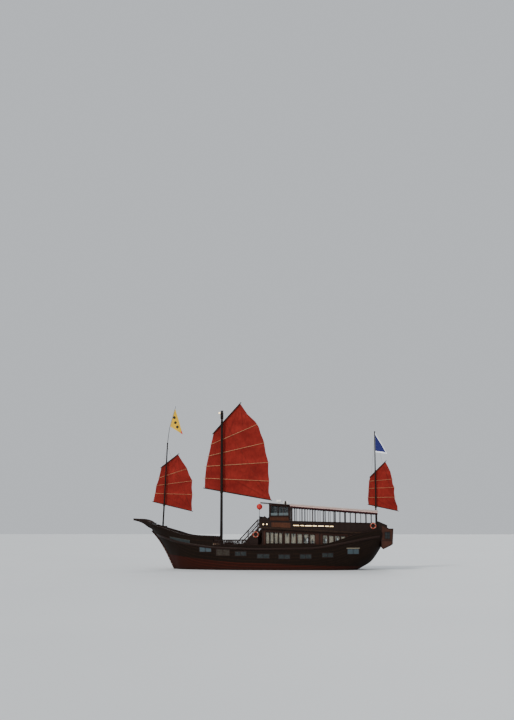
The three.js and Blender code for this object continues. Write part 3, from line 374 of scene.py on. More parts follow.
@dataclass(frozen=True)
class Cloth(Finish):
    """Light cloth for flags, valance, canopy and curtains: weave, fold shading and soft stains."""

    stain: float = 0.35
    sheen: float = 0.3

    def make(self, weave: Weave) -> Material:
        """A fine weave in UV metres, with large soft stains and a fade."""
        base = self.base
        cloud = weave.noise(weave.place(uv=True), 1.3, 8.0, 0.6)
        spots = weave.noise(weave.place(uv=True), 6.0, 5.0, 0.55)
        colour = weave.mix(weave.span(cloud, 0.3, 0.7), base * 0.72, lighter(base, 1.15))
        colour = weave.wash(colour, spots, 0.55, 0.8, self.stain, base * 0.45)
        colour = self.pattern(weave, colour)
        sheen = {"Sheen_Weight": self.sheen, "Sheen_Roughness": 0.5, "Specular_IOR_Level": 0.25}
        return weave.finish(colour, self.rough, weave.waves(120.0, "DIAGONAL"), 0.0008, **sheen)

    def pattern(self, weave: Weave, colour: NodeSocket) -> NodeSocket:
        """Nothing on plain cloth."""
        return colour


@dataclass(frozen=True)
class Pennant(Cloth):
    """Flag cloth with a border or tip in a second colour, and a row of plain spots."""

    second: str = "#b8322a"
    edge: tuple[float, float] = (0.84, 0.86)
    spots: bool = False

    def pattern(self, weave: Weave, colour: NodeSocket) -> NodeSocket:
        """The second colour where the mesh's own number passes the edge; round dark spots down the middle."""
        colour = weave.mix(weave.span(weave.attribute("tip"), *self.edge), colour, linear(self.second))
        if not self.spots:
            return colour
        return weave.mix(weave.span(weave.attribute("spot"), 0.45, 0.55), colour, (0.012, 0.012, 0.012))


@dataclass(frozen=True)
class Metal(Finish):
    """Painted iron, bronze or bright fittings, with rubbed edges and dull patches."""

    metallic: float = 1.0
    tarnish: str = "#2c2a26"

    def make(self, weave: Weave) -> Material:
        """Tarnish in cloudy patches over the metal, with fine pits."""
        cloud = weave.noise(weave.place(), 5.0, 8.0, 0.6)
        colour = weave.wash(self.base, cloud, 0.42, 0.7, 0.7, linear(self.tarnish))
        rough = self.worn(weave, cloud, 0.3, 0.7, 0.1, 0.2)
        return weave.finish(colour, rough, weave.noise(weave.place(), 90.0), 0.0006, Metallic=self.metallic)


@dataclass(frozen=True)
class Gel(Finish):
    """Smooth moulded plastic with faint chalking."""

    coat: float = 0.4

    def make(self, weave: Weave) -> Material:
        """A glossy shell, paler where it has chalked and grey where rain has run."""
        chalk = weave.noise(weave.place((1, 1, 0.3)), 4.0, 6.0)
        colour = weave.wash(self.base, chalk, 0.45, 0.75, 0.5, self.base * 0.62)
        rough = self.worn(weave, chalk, 0.3, 0.7, 0.0, 0.2)
        return weave.finish(colour, rough, chalk, 0.0005, Coat_Weight=self.coat)


@dataclass(frozen=True)
class Pane(Finish):
    """Window glass, clear or frosted."""

    clear: float = 0.75

    def make(self, weave: Weave) -> Material:
        """Slightly wavy glass with dusty corners, see-through by its clear share."""
        dust = weave.noise(weave.place(), 7.0, 6.0)
        colour = weave.wash(self.base, dust, 0.4, 0.8, 0.35, (0.08, 0.08, 0.075))
        wave = weave.noise(weave.place(), 2.2, 2.0)
        rough = self.worn(weave, dust, 0.3, 0.8, 0.0, 0.2)
        glass = {"Alpha": 1 - self.clear, "IOR": 1.45, "Specular_IOR_Level": 0.3}
        return weave.finish(colour, rough, wave, 0.002, **glass)


@dataclass(frozen=True)
class Lamp(Finish):
    """A lit surface: bulbs, a lit strip or a paper lantern."""

    strength: float = 3.0

    def make(self, weave: Weave) -> Material:
        """An even glow, a little uneven from lamp to lamp."""
        glow = weave.noise(weave.place(), 2.0, 3.0)
        shade = weave.wash(self.base, glow, 0.3, 0.7, 0.5, self.base * 0.6)
        return weave.finish(shade, self.rough, glow, 0.0004, Emission_Color=shade, Emission_Strength=self.strength)


@dataclass(frozen=True)
class Rope(Finish):
    """Laid rope: strands winding round the line, with painted shade between them and painted highlight on their
    crowns.
    """

    def make(self, weave: Weave) -> Material:
        """Slanting strands in the piece's own UV, u round the rope and v along it, in metres."""
        u, v, _ = weave.axes(weave.place(uv=True))
        twist = weave.maths("SINE", weave.maths("ADD", weave.times(u, 18.85), weave.times(v, 90.0)))
        fray = weave.noise(weave.place(uv=True), 40.0, 5.0)
        # Painted shade in the grooves between strands and painted highlight on their crowns, following the strands'
        # relief.
        colour = weave.mix(weave.span(twist, -1, 1), self.base * 0.45, lighter(self.base, 1.3))
        colour = weave.wash(colour, fray, 0.5, 0.8, 0.4, self.base * 0.7)
        return weave.finish(colour, self.rough, twist, 0.002, Specular_IOR_Level=0.2)


TARRED = Bottom("hull_planking", "hull_wood", "#1c110a", 0.7)
KEEL_TIMBER = Wood("keel_timber", "hull_wood", "#2c130c", 0.68, Grain.X, 2, 0.4, varnish=0.0)
TRIM = Wood("dark_trim", "trim_wood", "#1c0d07", 0.6, Grain.X, 2, 2.0, 0.002, 0.04)
TRIM_Y = Wood("dark_trim_athwart", "trim_wood", "#1c0d07", 0.6, Grain.Y, 2, 2.0, 0.002, 0.04)
CABIN = Wood("cabin_boards", "cabin_wood", "#35190d", 0.55, Grain.Z, 0, 0.135, 0.006, 0.08)
PANEL = Wood("wheelhouse_boards", "cabin_wood", "#462412", 0.55, Grain.Z, 0, 0.2, 0.012, 0.08)
JOINERY = Wood("joinery", "cabin_wood", "#40200f", 0.5, Grain.Z, 2, 3.0, 0.002, 0.12)
DECK = Wood("deck_planks", "deck_wood", "#6e5238", 0.72, Grain.X, 1, 0.14, 0.011, 0.0, 1.35, 0.4)
SLATS = Wood("bench_slats", "deck_wood", "#563620", 0.6, Grain.X, 1, 0.3, 0.002, 0.15)
SPAR = Wood("dark_spar", "spar_wood", "#150e0b", 0.7, Grain.Z, 2, 5.0, 0.001, 0.0, 1.7, 0.08)
BATTEN = Wood("bamboo_batten", "spar_wood", "#c9926a", 0.6, Grain.X, 0, 0.42, 0.006, 0.0, 1.2)
SAIL = Sailcloth("sailcloth", "sail_cloth", "#821f19", 0.85)
CANVAS = Cloth("roof_canvas", "canopy_cloth", "#b9a8a2", 0.8, 0.12, 0.1)
VALANCE = Pennant("maroon_valance", "valance_cloth", "#c3a39b", 0.9, 0.3, 0.05, "#2b0d10", (0.42, 0.46))
CURTAIN = Cloth("pale_curtain", "curtain_cloth", "#b1a893", 0.85, 0.2)
YELLOW = Pennant("yellow_pennant", "yellow_cloth", "#dcae22", 0.8, 0.2, 0.3, "#c23427", (0.8, 0.83), True)
BLUE = Pennant("blue_flag", "blue_cloth", "#1d2163", 0.8, 0.2, 0.2, "#f4f6f8", (0.5, 0.52))
IRON = Metal("painted_iron", "black_iron", "#2c2d2e", 0.55, 0.85, "#3a2a20")
BRONZE = Metal("propeller_bronze", "bronze", "#9a7440", 0.35, 0.95, "#3f4a34")
BRASS = Metal("lamp_brass", "bronze", "#b08a4a", 0.3, 1.0)
GELCOAT = Gel("white_gelcoat", "white_plastic", "#e4e3de", 0.3)
RING = Gel("ring_orange", "ring_plastic", "#96341f", 0.5, 0.1)
HEADS = Gel("port_heads", "white_plastic", "#b5ab94", 0.6, 0.0)
EDGES = Gel("board_edges", "white_plastic", "#4f4a42", 0.6, 0.0)
BOARD = Gel("bow_board_paint", "white_plastic", "#0c1a1c", 0.65, 0.0)
BAND = Gel("ring_bands", "white_plastic", "#a08c7e", 0.5, 0.1)
GLASS = Pane("clear_pane", "window_glass", "#5f686a", 0.06, 0.82)
TINTED = Pane("tinted_pane", "window_glass", "#1a2123", 0.08, 0.45)
MILKY = Pane("milky_pane", "window_glass", "#596467", 0.4, 0.0)
FROSTED = Pane("frosted_pane", "window_glass", "#37454c", 0.35, 0.0)
DIM = Pane("dim_pane", "window_glass", "#161c1e", 0.4, 0.0)
DULL = Pane("dull_pane", "window_glass", "#261c12", 0.4, 0.0)
WARM = Lamp("warm_lamps", "lamp_glow", "#ffdfa8", 0.4, 3.2)
PAPER = Lamp("red_lantern", "lantern_cloth", "#b81f16", 0.45, 0.06)
ROPE = Rope("hemp_rope", "rope", "#6e5a3e", 0.85)
DARK_ROPE = Rope("tarred_rope", "rope", "#2e251c", 0.85)


# Surfaces


@dataclass
class Surface:
    """Points and faces before they become a mesh.

    faces holds arrays of one face length each, and looks the finish's number for each of those arrays. uv and
    values hold numbers for each point.
    """

    points: Array
    faces: list[Array]
    looks: list[int] = field(default_factory=list)
    uv: Array | None = None
    values: dict[str, Array] = field(default_factory=dict)

    def __post_init__(self) -> None:
        """Gives each face array a finish number, and the points a flat uv."""
        self.points = np.asarray(self.points, float).reshape(-1, 3)
        self.looks = self.looks or [0] * len(self.faces)
        self.uv = self.points[:, :2] if self.uv is None else np.asarray(self.uv, float).reshape(-1, 2)


def meet(*axes: Number) -> Array:
    """Coordinates of any matching shapes as one array, the axis last."""
    return np.stack(np.broadcast_arrays(*axes), -1)


def around(count: int, closed: bool = False) -> Array:
    """Angles at even steps round a full turn; with closed, the last one repeats the first."""
    return np.linspace(0, 2 * np.pi, count, endpoint=closed)


def boxed(wave: Array, power: float) -> Array:
    """A sine or cosine drawn out towards the sides of a square, the more the smaller the power."""
    return np.sign(wave) * np.abs(wave) ** power


def distance(line: Array) -> Array:
    """The way run along a line at each of its points."""
    return np.concatenate([[0], np.cumsum(np.linalg.norm(np.diff(line, axis=0), axis=1))])


def even(line: Array, count: int) -> tuple[Array, Array]:
    """Points of a line in the plane at even steps of its length, and the way run at each."""
    run = distance(line)
    s = np.linspace(0, run[-1], count)
    return meet(np.interp(s, run, line[:, 0]), np.interp(s, run, line[:, 1])), s


def square_to(axis: Vec) -> tuple[Array, Array, Array]:
    """The unit vector along an axis, and two that are square to it and to each other."""
    n = np.asarray(axis, float) / np.linalg.norm(axis)
    a = np.cross(np.eye(3)[np.argmin(np.abs(n))], n)
    a /= np.linalg.norm(a)
    return n, a, np.cross(n, a)


def merge(parts: Iterable[Surface]) -> Surface:
    """Several surfaces as one: their points laid end to end, their face numbers shifted to match."""
    parts = list(parts)
    counts = np.cumsum([0] + [len(p.points) for p in parts])
    return Surface(
        np.concatenate([p.points for p in parts]),
        [f + start for p, start in zip(parts, counts) for f in p.faces],
        [look for p in parts for look in p.looks],
        np.concatenate([p.uv for p in parts]),
    )


def grid(points: Array, uv: Array | None = None, closed: bool = False, caps: bool = False) -> Surface:
    """A grid of points as quads: face (i, j) joins rows i and i+1 and columns j and j+1.

    Args:
        points: An array of rows by columns by 3.
        uv: An array of rows by columns by 2.
        closed: Joins the last column to the first.
        caps: Closes the first and last row with one face each.

    Returns:
        The surface.
    """
    rows, cols = points.shape[:2]
    i = np.arange(rows - 1)[:, None] * cols
    j = np.arange(cols if closed else cols - 1)[None, :]
    k = (j + 1) % cols
    faces = [np.stack([i + j, i + k, i + k + cols, i + j + cols], -1).reshape(-1, 4)]
    if caps:
        ends = np.arange(cols)
        faces += [ends[None, ::-1], ends[None, :] + (rows - 1) * cols]
    return Surface(points, faces, uv=uv)


def shell(points: Array, offset: Array | Vec, uv: Array) -> Surface:
    """A closed sheet: the grid of points, the same grid moved by offset, and a rim of quads round the edge.

    Args:
        points: An array of rows by columns by 3.
        offset: What is added to each point for the back face.
        uv: An array of rows by columns by 2.

    Returns:
        The surface.
    """
    rows, cols = points.shape[:2]
    front, back = grid(points, uv), grid(points + offset, uv)
    back.faces[0] = back.faces[0][:, ::-1]
    number = np.arange(rows * cols).reshape(rows, cols)
    edge = np.concatenate([number[0, :-1], number[:-1, -1], number[-1, :0:-1], number[:0:-1, 0]])
    nxt = np.roll(edge, -1)
    both = merge([front, back])
    both.faces.append(np.stack([nxt, edge, edge + rows * cols, nxt + rows * cols], -1))
    both.looks.append(0)
    return both


def frames(path: Array) -> tuple[Array, Array]:
    """Two unit vectors across a path at each point, turned as little as may be along it.

    The tangent is the normalised difference of the neighbours. The first vector is the world axis least along
    the whole path, made square to each tangent.
    """
    tangent = np.gradient(path, axis=0)
    tangent /= np.maximum(np.linalg.norm(tangent, axis=1, keepdims=True), 1e-9)
    axis = np.eye(3)[np.argmin(np.abs(tangent).max(axis=0))]
    side = np.cross(tangent, axis)
    side /= np.maximum(np.linalg.norm(side, axis=1, keepdims=True), 1e-9)
    return side, np.cross(side, tangent)


def tube(path: Sequence, radius: Number, sides: int = 12, squash: float = 1.0) -> Surface:
    """A round rod along a path: point = path + radius (cos t side + squash sin t up).

    Args:
        path: Points, n by 3.
        radius: One radius, or one a point.
        sides: Points round the rod.
        squash: The second half axis as a share of the first.

    Returns:
        The closed surface; uv is the share of the way round, and metres along.
    """
    path = np.asarray(path, float)
    radius = np.broadcast_to(radius, len(path))[:, None, None]
    side, up = frames(path)
    t = around(sides)
    ring = np.cos(t)[None, :, None] * side[:, None] + squash * np.sin(t)[None, :, None] * up[:, None]
    uv = meet(t / (2 * np.pi), distance(path)[:, None])
    return grid(path[:, None] + radius * ring, uv, closed=True, caps=True)


def hoop(centre: Vec, axis: Vec, radius: float, thick: float, sides: int = 8, turns: int = 40) -> Surface:
    """A ring: a circle of radius about an axis, and round it a circle of half the thickness."""
    n, a, b = square_to(axis)
    s, t = around(turns)[:, None], around(sides)
    out = (-np.cos(s) * a - np.sin(s) * b)[:, None]
    ring = radius * out + thick / 2 * (np.cos(t)[:, None] * out + np.sin(t)[:, None] * n)
    i, j = np.arange(turns)[:, None] * sides, np.arange(sides)
    k, m = (j + 1) % sides, (i + sides) % (turns * sides)
    faces = np.stack([i + j, i + k, m + k, m + j], -1).reshape(-1, 4)
    return Surface(centre + ring, [faces], uv=meet(t * thick / 2, s * radius))


def turned(profile: Sequence[tuple[float, float]], foot: Vec, axis: Vec = UP, sides: int = 20) -> Surface:
    """A turned piece: each (radius, distance along the axis) of the profile swept round the axis."""
    n, a, b = square_to(axis)
    shape = np.asarray(profile, float)
    t = around(sides)
    ring = np.cos(t)[:, None] * a + np.sin(t)[:, None] * b
    points = foot + shape[:, :1, None] * ring + shape[:, 1:, None] * n
    return grid(points, meet(t * shape[:, 0].max(), shape[:, 1:]), closed=True, caps=True)


def block(a: Vec, b: Vec, chamfer: float = 0.004) -> Surface:
    """A squared timber between two opposite corners: four rings of four points, the end rings drawn in."""
    low, high = np.minimum(a, b), np.maximum(a, b)
    half = (high - low) / 2
    cut = min(chamfer, half.min() * 0.4)
    corner = np.array([[-1, -1], [1, -1], [1, 1], [-1, 1]])
    inset, level, drop = np.array([[1, 0, 0, 1], [-1, -1, 1, 1], [0, 1, -1, 0]])[:, :, None]
    xy = corner * (half[:2] - cut * inset[..., None])
    points = meet(xy[..., 0], xy[..., 1], half[2] * level + cut * drop) + (low + high) / 2
    return grid(points, points[..., [0, 2]], closed=True, caps=True)


def beam(a: Vec, b: Vec, width: float, depth: float, up: Vec = UP) -> Surface:
    """A squared timber from a to b, its depth along up as nearly as the run allows, with cut corners."""
    a, b = np.asarray(a, float), np.asarray(b, float)
    run = (b - a) / np.linalg.norm(b - a)
    side = np.cross(run, up)
    side /= np.linalg.norm(side)
    cut = 0.12 * min(width, depth)
    w, d = width / 2, depth / 2
    half = np.array([[w - cut, -d], [w, -d + cut], [w, d - cut], [w - cut, d]])
    section = np.concatenate([half, -half])
    ring = section[:, :1] * side + section[:, 1:] * np.cross(side, run)
    return grid(np.stack([a + ring, b + ring]), closed=True, caps=True)


def level(x0: float, x1: float, y: float, height: Callable[[float], float] | float, *sizes: object) -> Surface:
    """A fore-and-aft beam at y whose height is a number or a function of x."""
    z0, z1 = (height(x) if callable(height) else height for x in (x0, x1))
    return beam((x0, y, z0), (x1, y, z1), *sizes)


def post(x: float, y: float, foot: float, head: float, *sizes: object) -> Surface:
    """An upright beam."""
    return beam((x, y, foot), (x, y, head), *sizes)


def athwart(x: float, y0: float, y1: float, z: float, *sizes: object) -> Surface:
    """A level beam across the boat."""
    return beam((x, y0, z), (x, y1, z), *sizes)


def curve(points: Sequence, count: int) -> Array:
    """A smooth line through points: a Catmull-Rom spline sampled at equal steps of its knot number."""
    p = np.asarray(points, float)
    p = np.concatenate([[2 * p[0] - p[1]], p, [2 * p[-1] - p[-2]]])
    s = np.linspace(0, len(p) - 3 - 1e-9, count)
    i, t = s.astype(int), (s % 1)[:, None]
    a, b, c, d = p[i], p[i + 1], p[i + 2], p[i + 3]
    return 0.5 * (2 * b + (c - a) * t + (2 * a - 5 * b + 4 * c - d) * t**2 + (3 * b - a - 3 * c + d) * t**3)


def knob(foot: Vec, axis: Vec) -> Surface:
    """A door knob: a rose, a neck and a flattened ball."""
    profile = [(0.004, 0), (0.02, 0.004), (0.008, 0.012), (0.01, 0.03), (0.026, 0.045), (0.02, 0.062), (0.003, 0.068)]
    return turned(profile, foot, axis, 18)


def build(
    name: str,
    surface: Surface | Iterable[Surface],
    finishes: Finish | Sequence[Finish],
    replaces: Sequence[str] = (),
    body: Body = Body.HULL,
    crease: float = 40.0,
    clean: bool = False,
) -> bpy.types.Object:
    """Makes a piece: its mesh, finishes and body.

    Args:
        name: The piece's name.
        surface: Its points and faces, or several surfaces to merge.
        finishes: One finish, or one for each finish number.
        replaces: The solids that it stands for.
        body: The body that it rides on.
        crease: Edges sharper than this many degrees stay sharp.
        clean: Merges doubled points, drops flat faces and turns the faces outwards.

    Returns:
        The object.
    """
    if not isinstance(surface, Surface):
        surface = merge(surface)
    mesh = bpy.data.meshes.new(name)
    mesh.vertices.add(len(surface.points))
    mesh.vertices.foreach_set("co", surface.points.astype(np.float32).ravel())
    corners = np.concatenate([f.ravel() for f in surface.faces]).astype(np.int32)
    totals = np.concatenate([np.full(len(f), f.shape[1]) for f in surface.faces]).astype(np.int32)
    looks = np.repeat(surface.looks, [len(f) for f in surface.faces]).astype(np.int32)
    mesh.loops.add(len(corners))
    mesh.loops.foreach_set("vertex_index", corners)
    mesh.polygons.add(len(totals))
    mesh.polygons.foreach_set("loop_start", np.concatenate([[0], np.cumsum(totals)[:-1]]).astype(np.int32))
    mesh.polygons.foreach_set("loop_total", totals)
    mesh.polygons.foreach_set("material_index", looks)
    mesh.update(calc_edges=True)
    mesh.uv_layers.new(name="UVMap").data.foreach_set("uv", surface.uv[corners].astype(np.float32).ravel())
    for key, value in surface.values.items():
        mesh.attributes.new(key, "FLOAT", "POINT").data.foreach_set("value", value.astype(np.float32))
    mesh.validate()
    tidy(mesh, clean)
    mesh.polygons.foreach_set("use_smooth", np.ones(len(mesh.polygons), bool))
    mesh.set_sharp_from_angle(angle=math.radians(crease))
    several = [finishes] if isinstance(finishes, Finish) else list(finishes)
    for finish in several:
        mesh.materials.append(finish.material())
    piece = bpy.data.objects.new(name, mesh)
    bpy.context.scene.collection.objects.link(piece)
    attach(piece, body.value)
    if replaces:
        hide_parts(*replaces)
    log.info("%s: %d faces on %s", name, len(mesh.polygons), body.value)
    return piece


def tidy(mesh: bpy.types.Mesh, clean: bool) -> None:
    """Turns a mesh's faces outwards; with clean, first merges doubled points and drops what has no area."""
    work = bmesh.new()
    work.from_mesh(mesh)
    if clean:
        bmesh.ops.remove_doubles(work, verts=work.verts, dist=2e-5)
        bmesh.ops.dissolve_degenerate(work, dist=1e-5, edges=work.edges)
    bmesh.ops.recalc_face_normals(work, faces=work.faces)
    work.to_mesh(mesh)
    work.free()


def dress(nodes: Iterable[str], finish: Finish) -> None:
    """Gives solids of the frame a finish."""
    for node in nodes:
        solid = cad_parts[node]
        solid.data.materials.clear()
        solid.data.materials.append(finish.material())


def area_of(points: Array) -> float:
    """The area of a grid of points: half the cross product of each quad's diagonals, summed."""
    across = points[1:, 1:] - points[:-1, :-1]
    other = points[1:, :-1] - points[:-1, 1:]
    return float(0.5 * np.linalg.norm(np.cross(across, other), axis=-1).sum())


# Lines of the boat

KEEL_HALF = 0.12
PLANKING = 0.11
HULL_FORE, HULL_AFT = -11.85, 12.7
FORE_BULKHEAD, SALOON_AFT = -4.8, 10.6
MAIN_DECK = 1.9
UPPER_SLOPE = 0.0536
ROOF_SLOPE = 0.079
SEATED = 0.0003  # a hair's gap over the piece below


def upper_under(x: Number) -> Number:
    """The underside of the upper deck at x."""
    return 4.24 - UPPER_SLOPE * (x - 0.95)


def upper_top(x: Number) -> Number:
    """The upper deck's own surface at x."""
    return upper_under(x) + 0.13


def upper_rail(x: Number) -> Number:
    """The top of the upper deck's bulwark at x."""
    return 5.03 - 0.0247 * (x - 3.4)


def canopy_edge(x: Number) -> Number:
    """The top of the canopy's brim at x."""
    return 6.77 - ROOF_SLOPE * (x - 3.15)


def upper_half(x: Number) -> Number:
    """The upper deck's half breadth at x."""
    return 3.25 - 0.4 * np.clip((x - 8.0) / 4.45, 0, 1)


def roof_top(x: Number) -> Number:
    """The top of the wheelhouse's roof at x."""
    return 6.95 - ROOF_SLOPE * (x - 1.0)


@dataclass(frozen=True)
class HullForm:
    """The hull's lines: stations of a cubic section from the keel strip to the top of the planking.

    Each row is x, keel z, the bottom handle's y and z, the side handle's y and z, and the top's y and z, in
    millimetres. Between rows each column follows a cubic with the neighbours' slope.
    """

    rows: tuple[tuple[int, ...], ...] = (
        (-11850, 4060, 350, 4160, 1200, 4400, 1560, 4850),
        (-11050, 3150, 400, 3300, 1500, 3700, 1920, 4600),
        (-10250, 1880, 420, 2150, 1750, 3000, 2280, 4330),
        (-9300, 0, 430, 500, 2000, 1900, 2620, 4050),
        (-8500, -1100, 480, -700, 2300, 700, 2880, 3780),
        (-7000, -1620, 1000, -1520, 2900, -300, 3270, 3500),
        (-4800, -1750, 1900, -1750, 3420, -900, 3620, 3400),
        (-2000, -1750, 2700, -1750, 3760, -1100, 3790, 3000),
        (2000, -1750, 2800, -1750, 3800, -1150, 3800, 2900),
        (5500, -1600, 2500, -1600, 3720, -900, 3790, 2900),
        (8000, -1000, 2300, -1020, 3560, -400, 3710, 3200),
        (9500, -420, 2200, -400, 3400, 150, 3600, 3680),
        (10600, 200, 2100, 240, 3260, 700, 3480, 3950),
        (11700, 880, 2000, 920, 3100, 1350, 3320, 4150),
        (12450, 1900, 1900, 1950, 3000, 2250, 3190, 4230),
        (12700, 2330, 1850, 2380, 2950, 2600, 3150, 4250),
    )
    foredeck: Line = ((-11.85, 4.22), (-11.0, 3.78), (-10.0, 3.45), (-8.3, 2.95), (-4.8, 2.6))
    fore_rail: Line = (
        *((-11.85, 4.8), (-11.0, 4.5), (-10.0, 4.2), (-9.0, 3.9), (-8.3, 3.65), (-7.5, 3.52), (-4.8, 3.4)),
    )
    aft_rail: Line = (
        *((-4.795, 2.55), (6.76, 2.6), (8.2, 3.0), (9.73, 3.58), (10.6, 3.8), (12.3, 4.1), (12.7, 4.15)),
    )
    wale: Line = (
        *((-11.3, 3.7), (-10.0, 3.25), (-8.5, 2.8), (-4.8, 2.3), (0.0, 2.15), (6.0, 2.25), (9.0, 2.8), (12.6, 3.5)),
    )
    band: Line = (
        *((-12.0, 1.75), (-8.8, 1.42), (-6.8, 1.19), (-4.4, 0.92), (-2.4, 0.79), (0.9, 0.7)),
        *((4.2, 0.52), (8.4, 0.4), (12.7, 0.34)),
    )

    def column(self, number: int, x: Array) -> Array:
        """A column of the table at x, in metres: the cubic with slopes taken over both neighbours."""
        table = np.array(self.rows, float) / 1000
        at, value = table[:, 0], table[:, number]
        i = np.clip(np.searchsorted(at, x), 1, len(at) - 1)
        before, after = np.maximum(i - 2, 0), np.minimum(i + 1, len(at) - 1)
        run = at[i] - at[i - 1]
        t = (x - at[i - 1]) / run
        fore = (value[i] - value[before]) / (at[i] - at[before]) * run
        aft = (value[after] - value[i - 1]) / (at[after] - at[i - 1]) * run
        ends = value[i - 1] * (2 * t**3 - 3 * t**2 + 1) + value[i] * (3 * t**2 - 2 * t**3)
        return ends + fore * (t**3 - 2 * t**2 + t) + aft * (t**3 - t**2)

    def section(self, x: Array, u: Array) -> tuple[Array, Array]:
        """The half breadth and height at x for u from 0 at the keel to 1 at the top, a cubic in u."""
        x, u = np.broadcast_arrays(x, u)

        def cubic(a: Number, b: Array, c: Array, d: Array) -> Array:
            """The Bezier polynomial of four handles."""
            return a * (1 - u) ** 3 + 3 * b * u * (1 - u) ** 2 + 3 * c * u**2 * (1 - u) + d * u**3

        at = [self.column(n, x) for n in range(1, 8)]
        return cubic(KEEL_HALF, at[1], at[3], at[5]), cubic(at[0], at[2], at[4], at[6])

    def reach(self, x: Array, z: Array) -> Array:
        """The u at which the section at x comes up to z, by halving."""
        x, z = np.broadcast_arrays(np.asarray(x, float), z)
        low, high = np.zeros(x.shape), np.ones(x.shape)
        for _ in range(30):
            middle = (low + high) / 2
            below = self.section(x, middle)[1] < z
            low, high = np.where(below, middle, low), np.where(below, high, middle)
        return low

    def half(self, x: Array, z: Array) -> Array:
        """The half breadth at x and z."""
        return self.section(np.asarray(x, float), self.reach(x, z))[0]

    def keel_line(self, x: Array) -> Array:
        """The underside of the planking on the centreline."""
        return self.column(1, np.asarray(x, float))

    @staticmethod
    def along(line: Line, x: Array, soften: float = 0.35) -> Array:
        """The height of a line at x, its knuckles softened by a mean over a short length each way."""
        at, height = np.array(line).T
        near = [np.clip(x + d, at[0], at[-1]) for d in np.linspace(-soften, soften, 9)]
        return np.mean([np.interp(v, at, height) for v in near], axis=0)

    def rail(self, x: Array) -> Array:
        """The top of the bulwark at x, with its step at the fore bulkhead."""
        x = np.asarray(x, float)
        return np.where(x <= FORE_BULKHEAD + 1e-6, self.along(self.fore_rail, x), self.along(self.aft_rail, x))

    def deck(self, x: Array) -> Array:
        """The deck's height at x."""
        x = np.asarray(x, float)
        fore = np.interp(x, *np.array(self.foredeck).T)
        aft = np.where(x >= SALOON_AFT - 1e-6, upper_under(x) - SEATED, MAIN_DECK)
        return np.where(x <= FORE_BULKHEAD + 1e-6, fore, aft)


LINES = HullForm()


# Hull


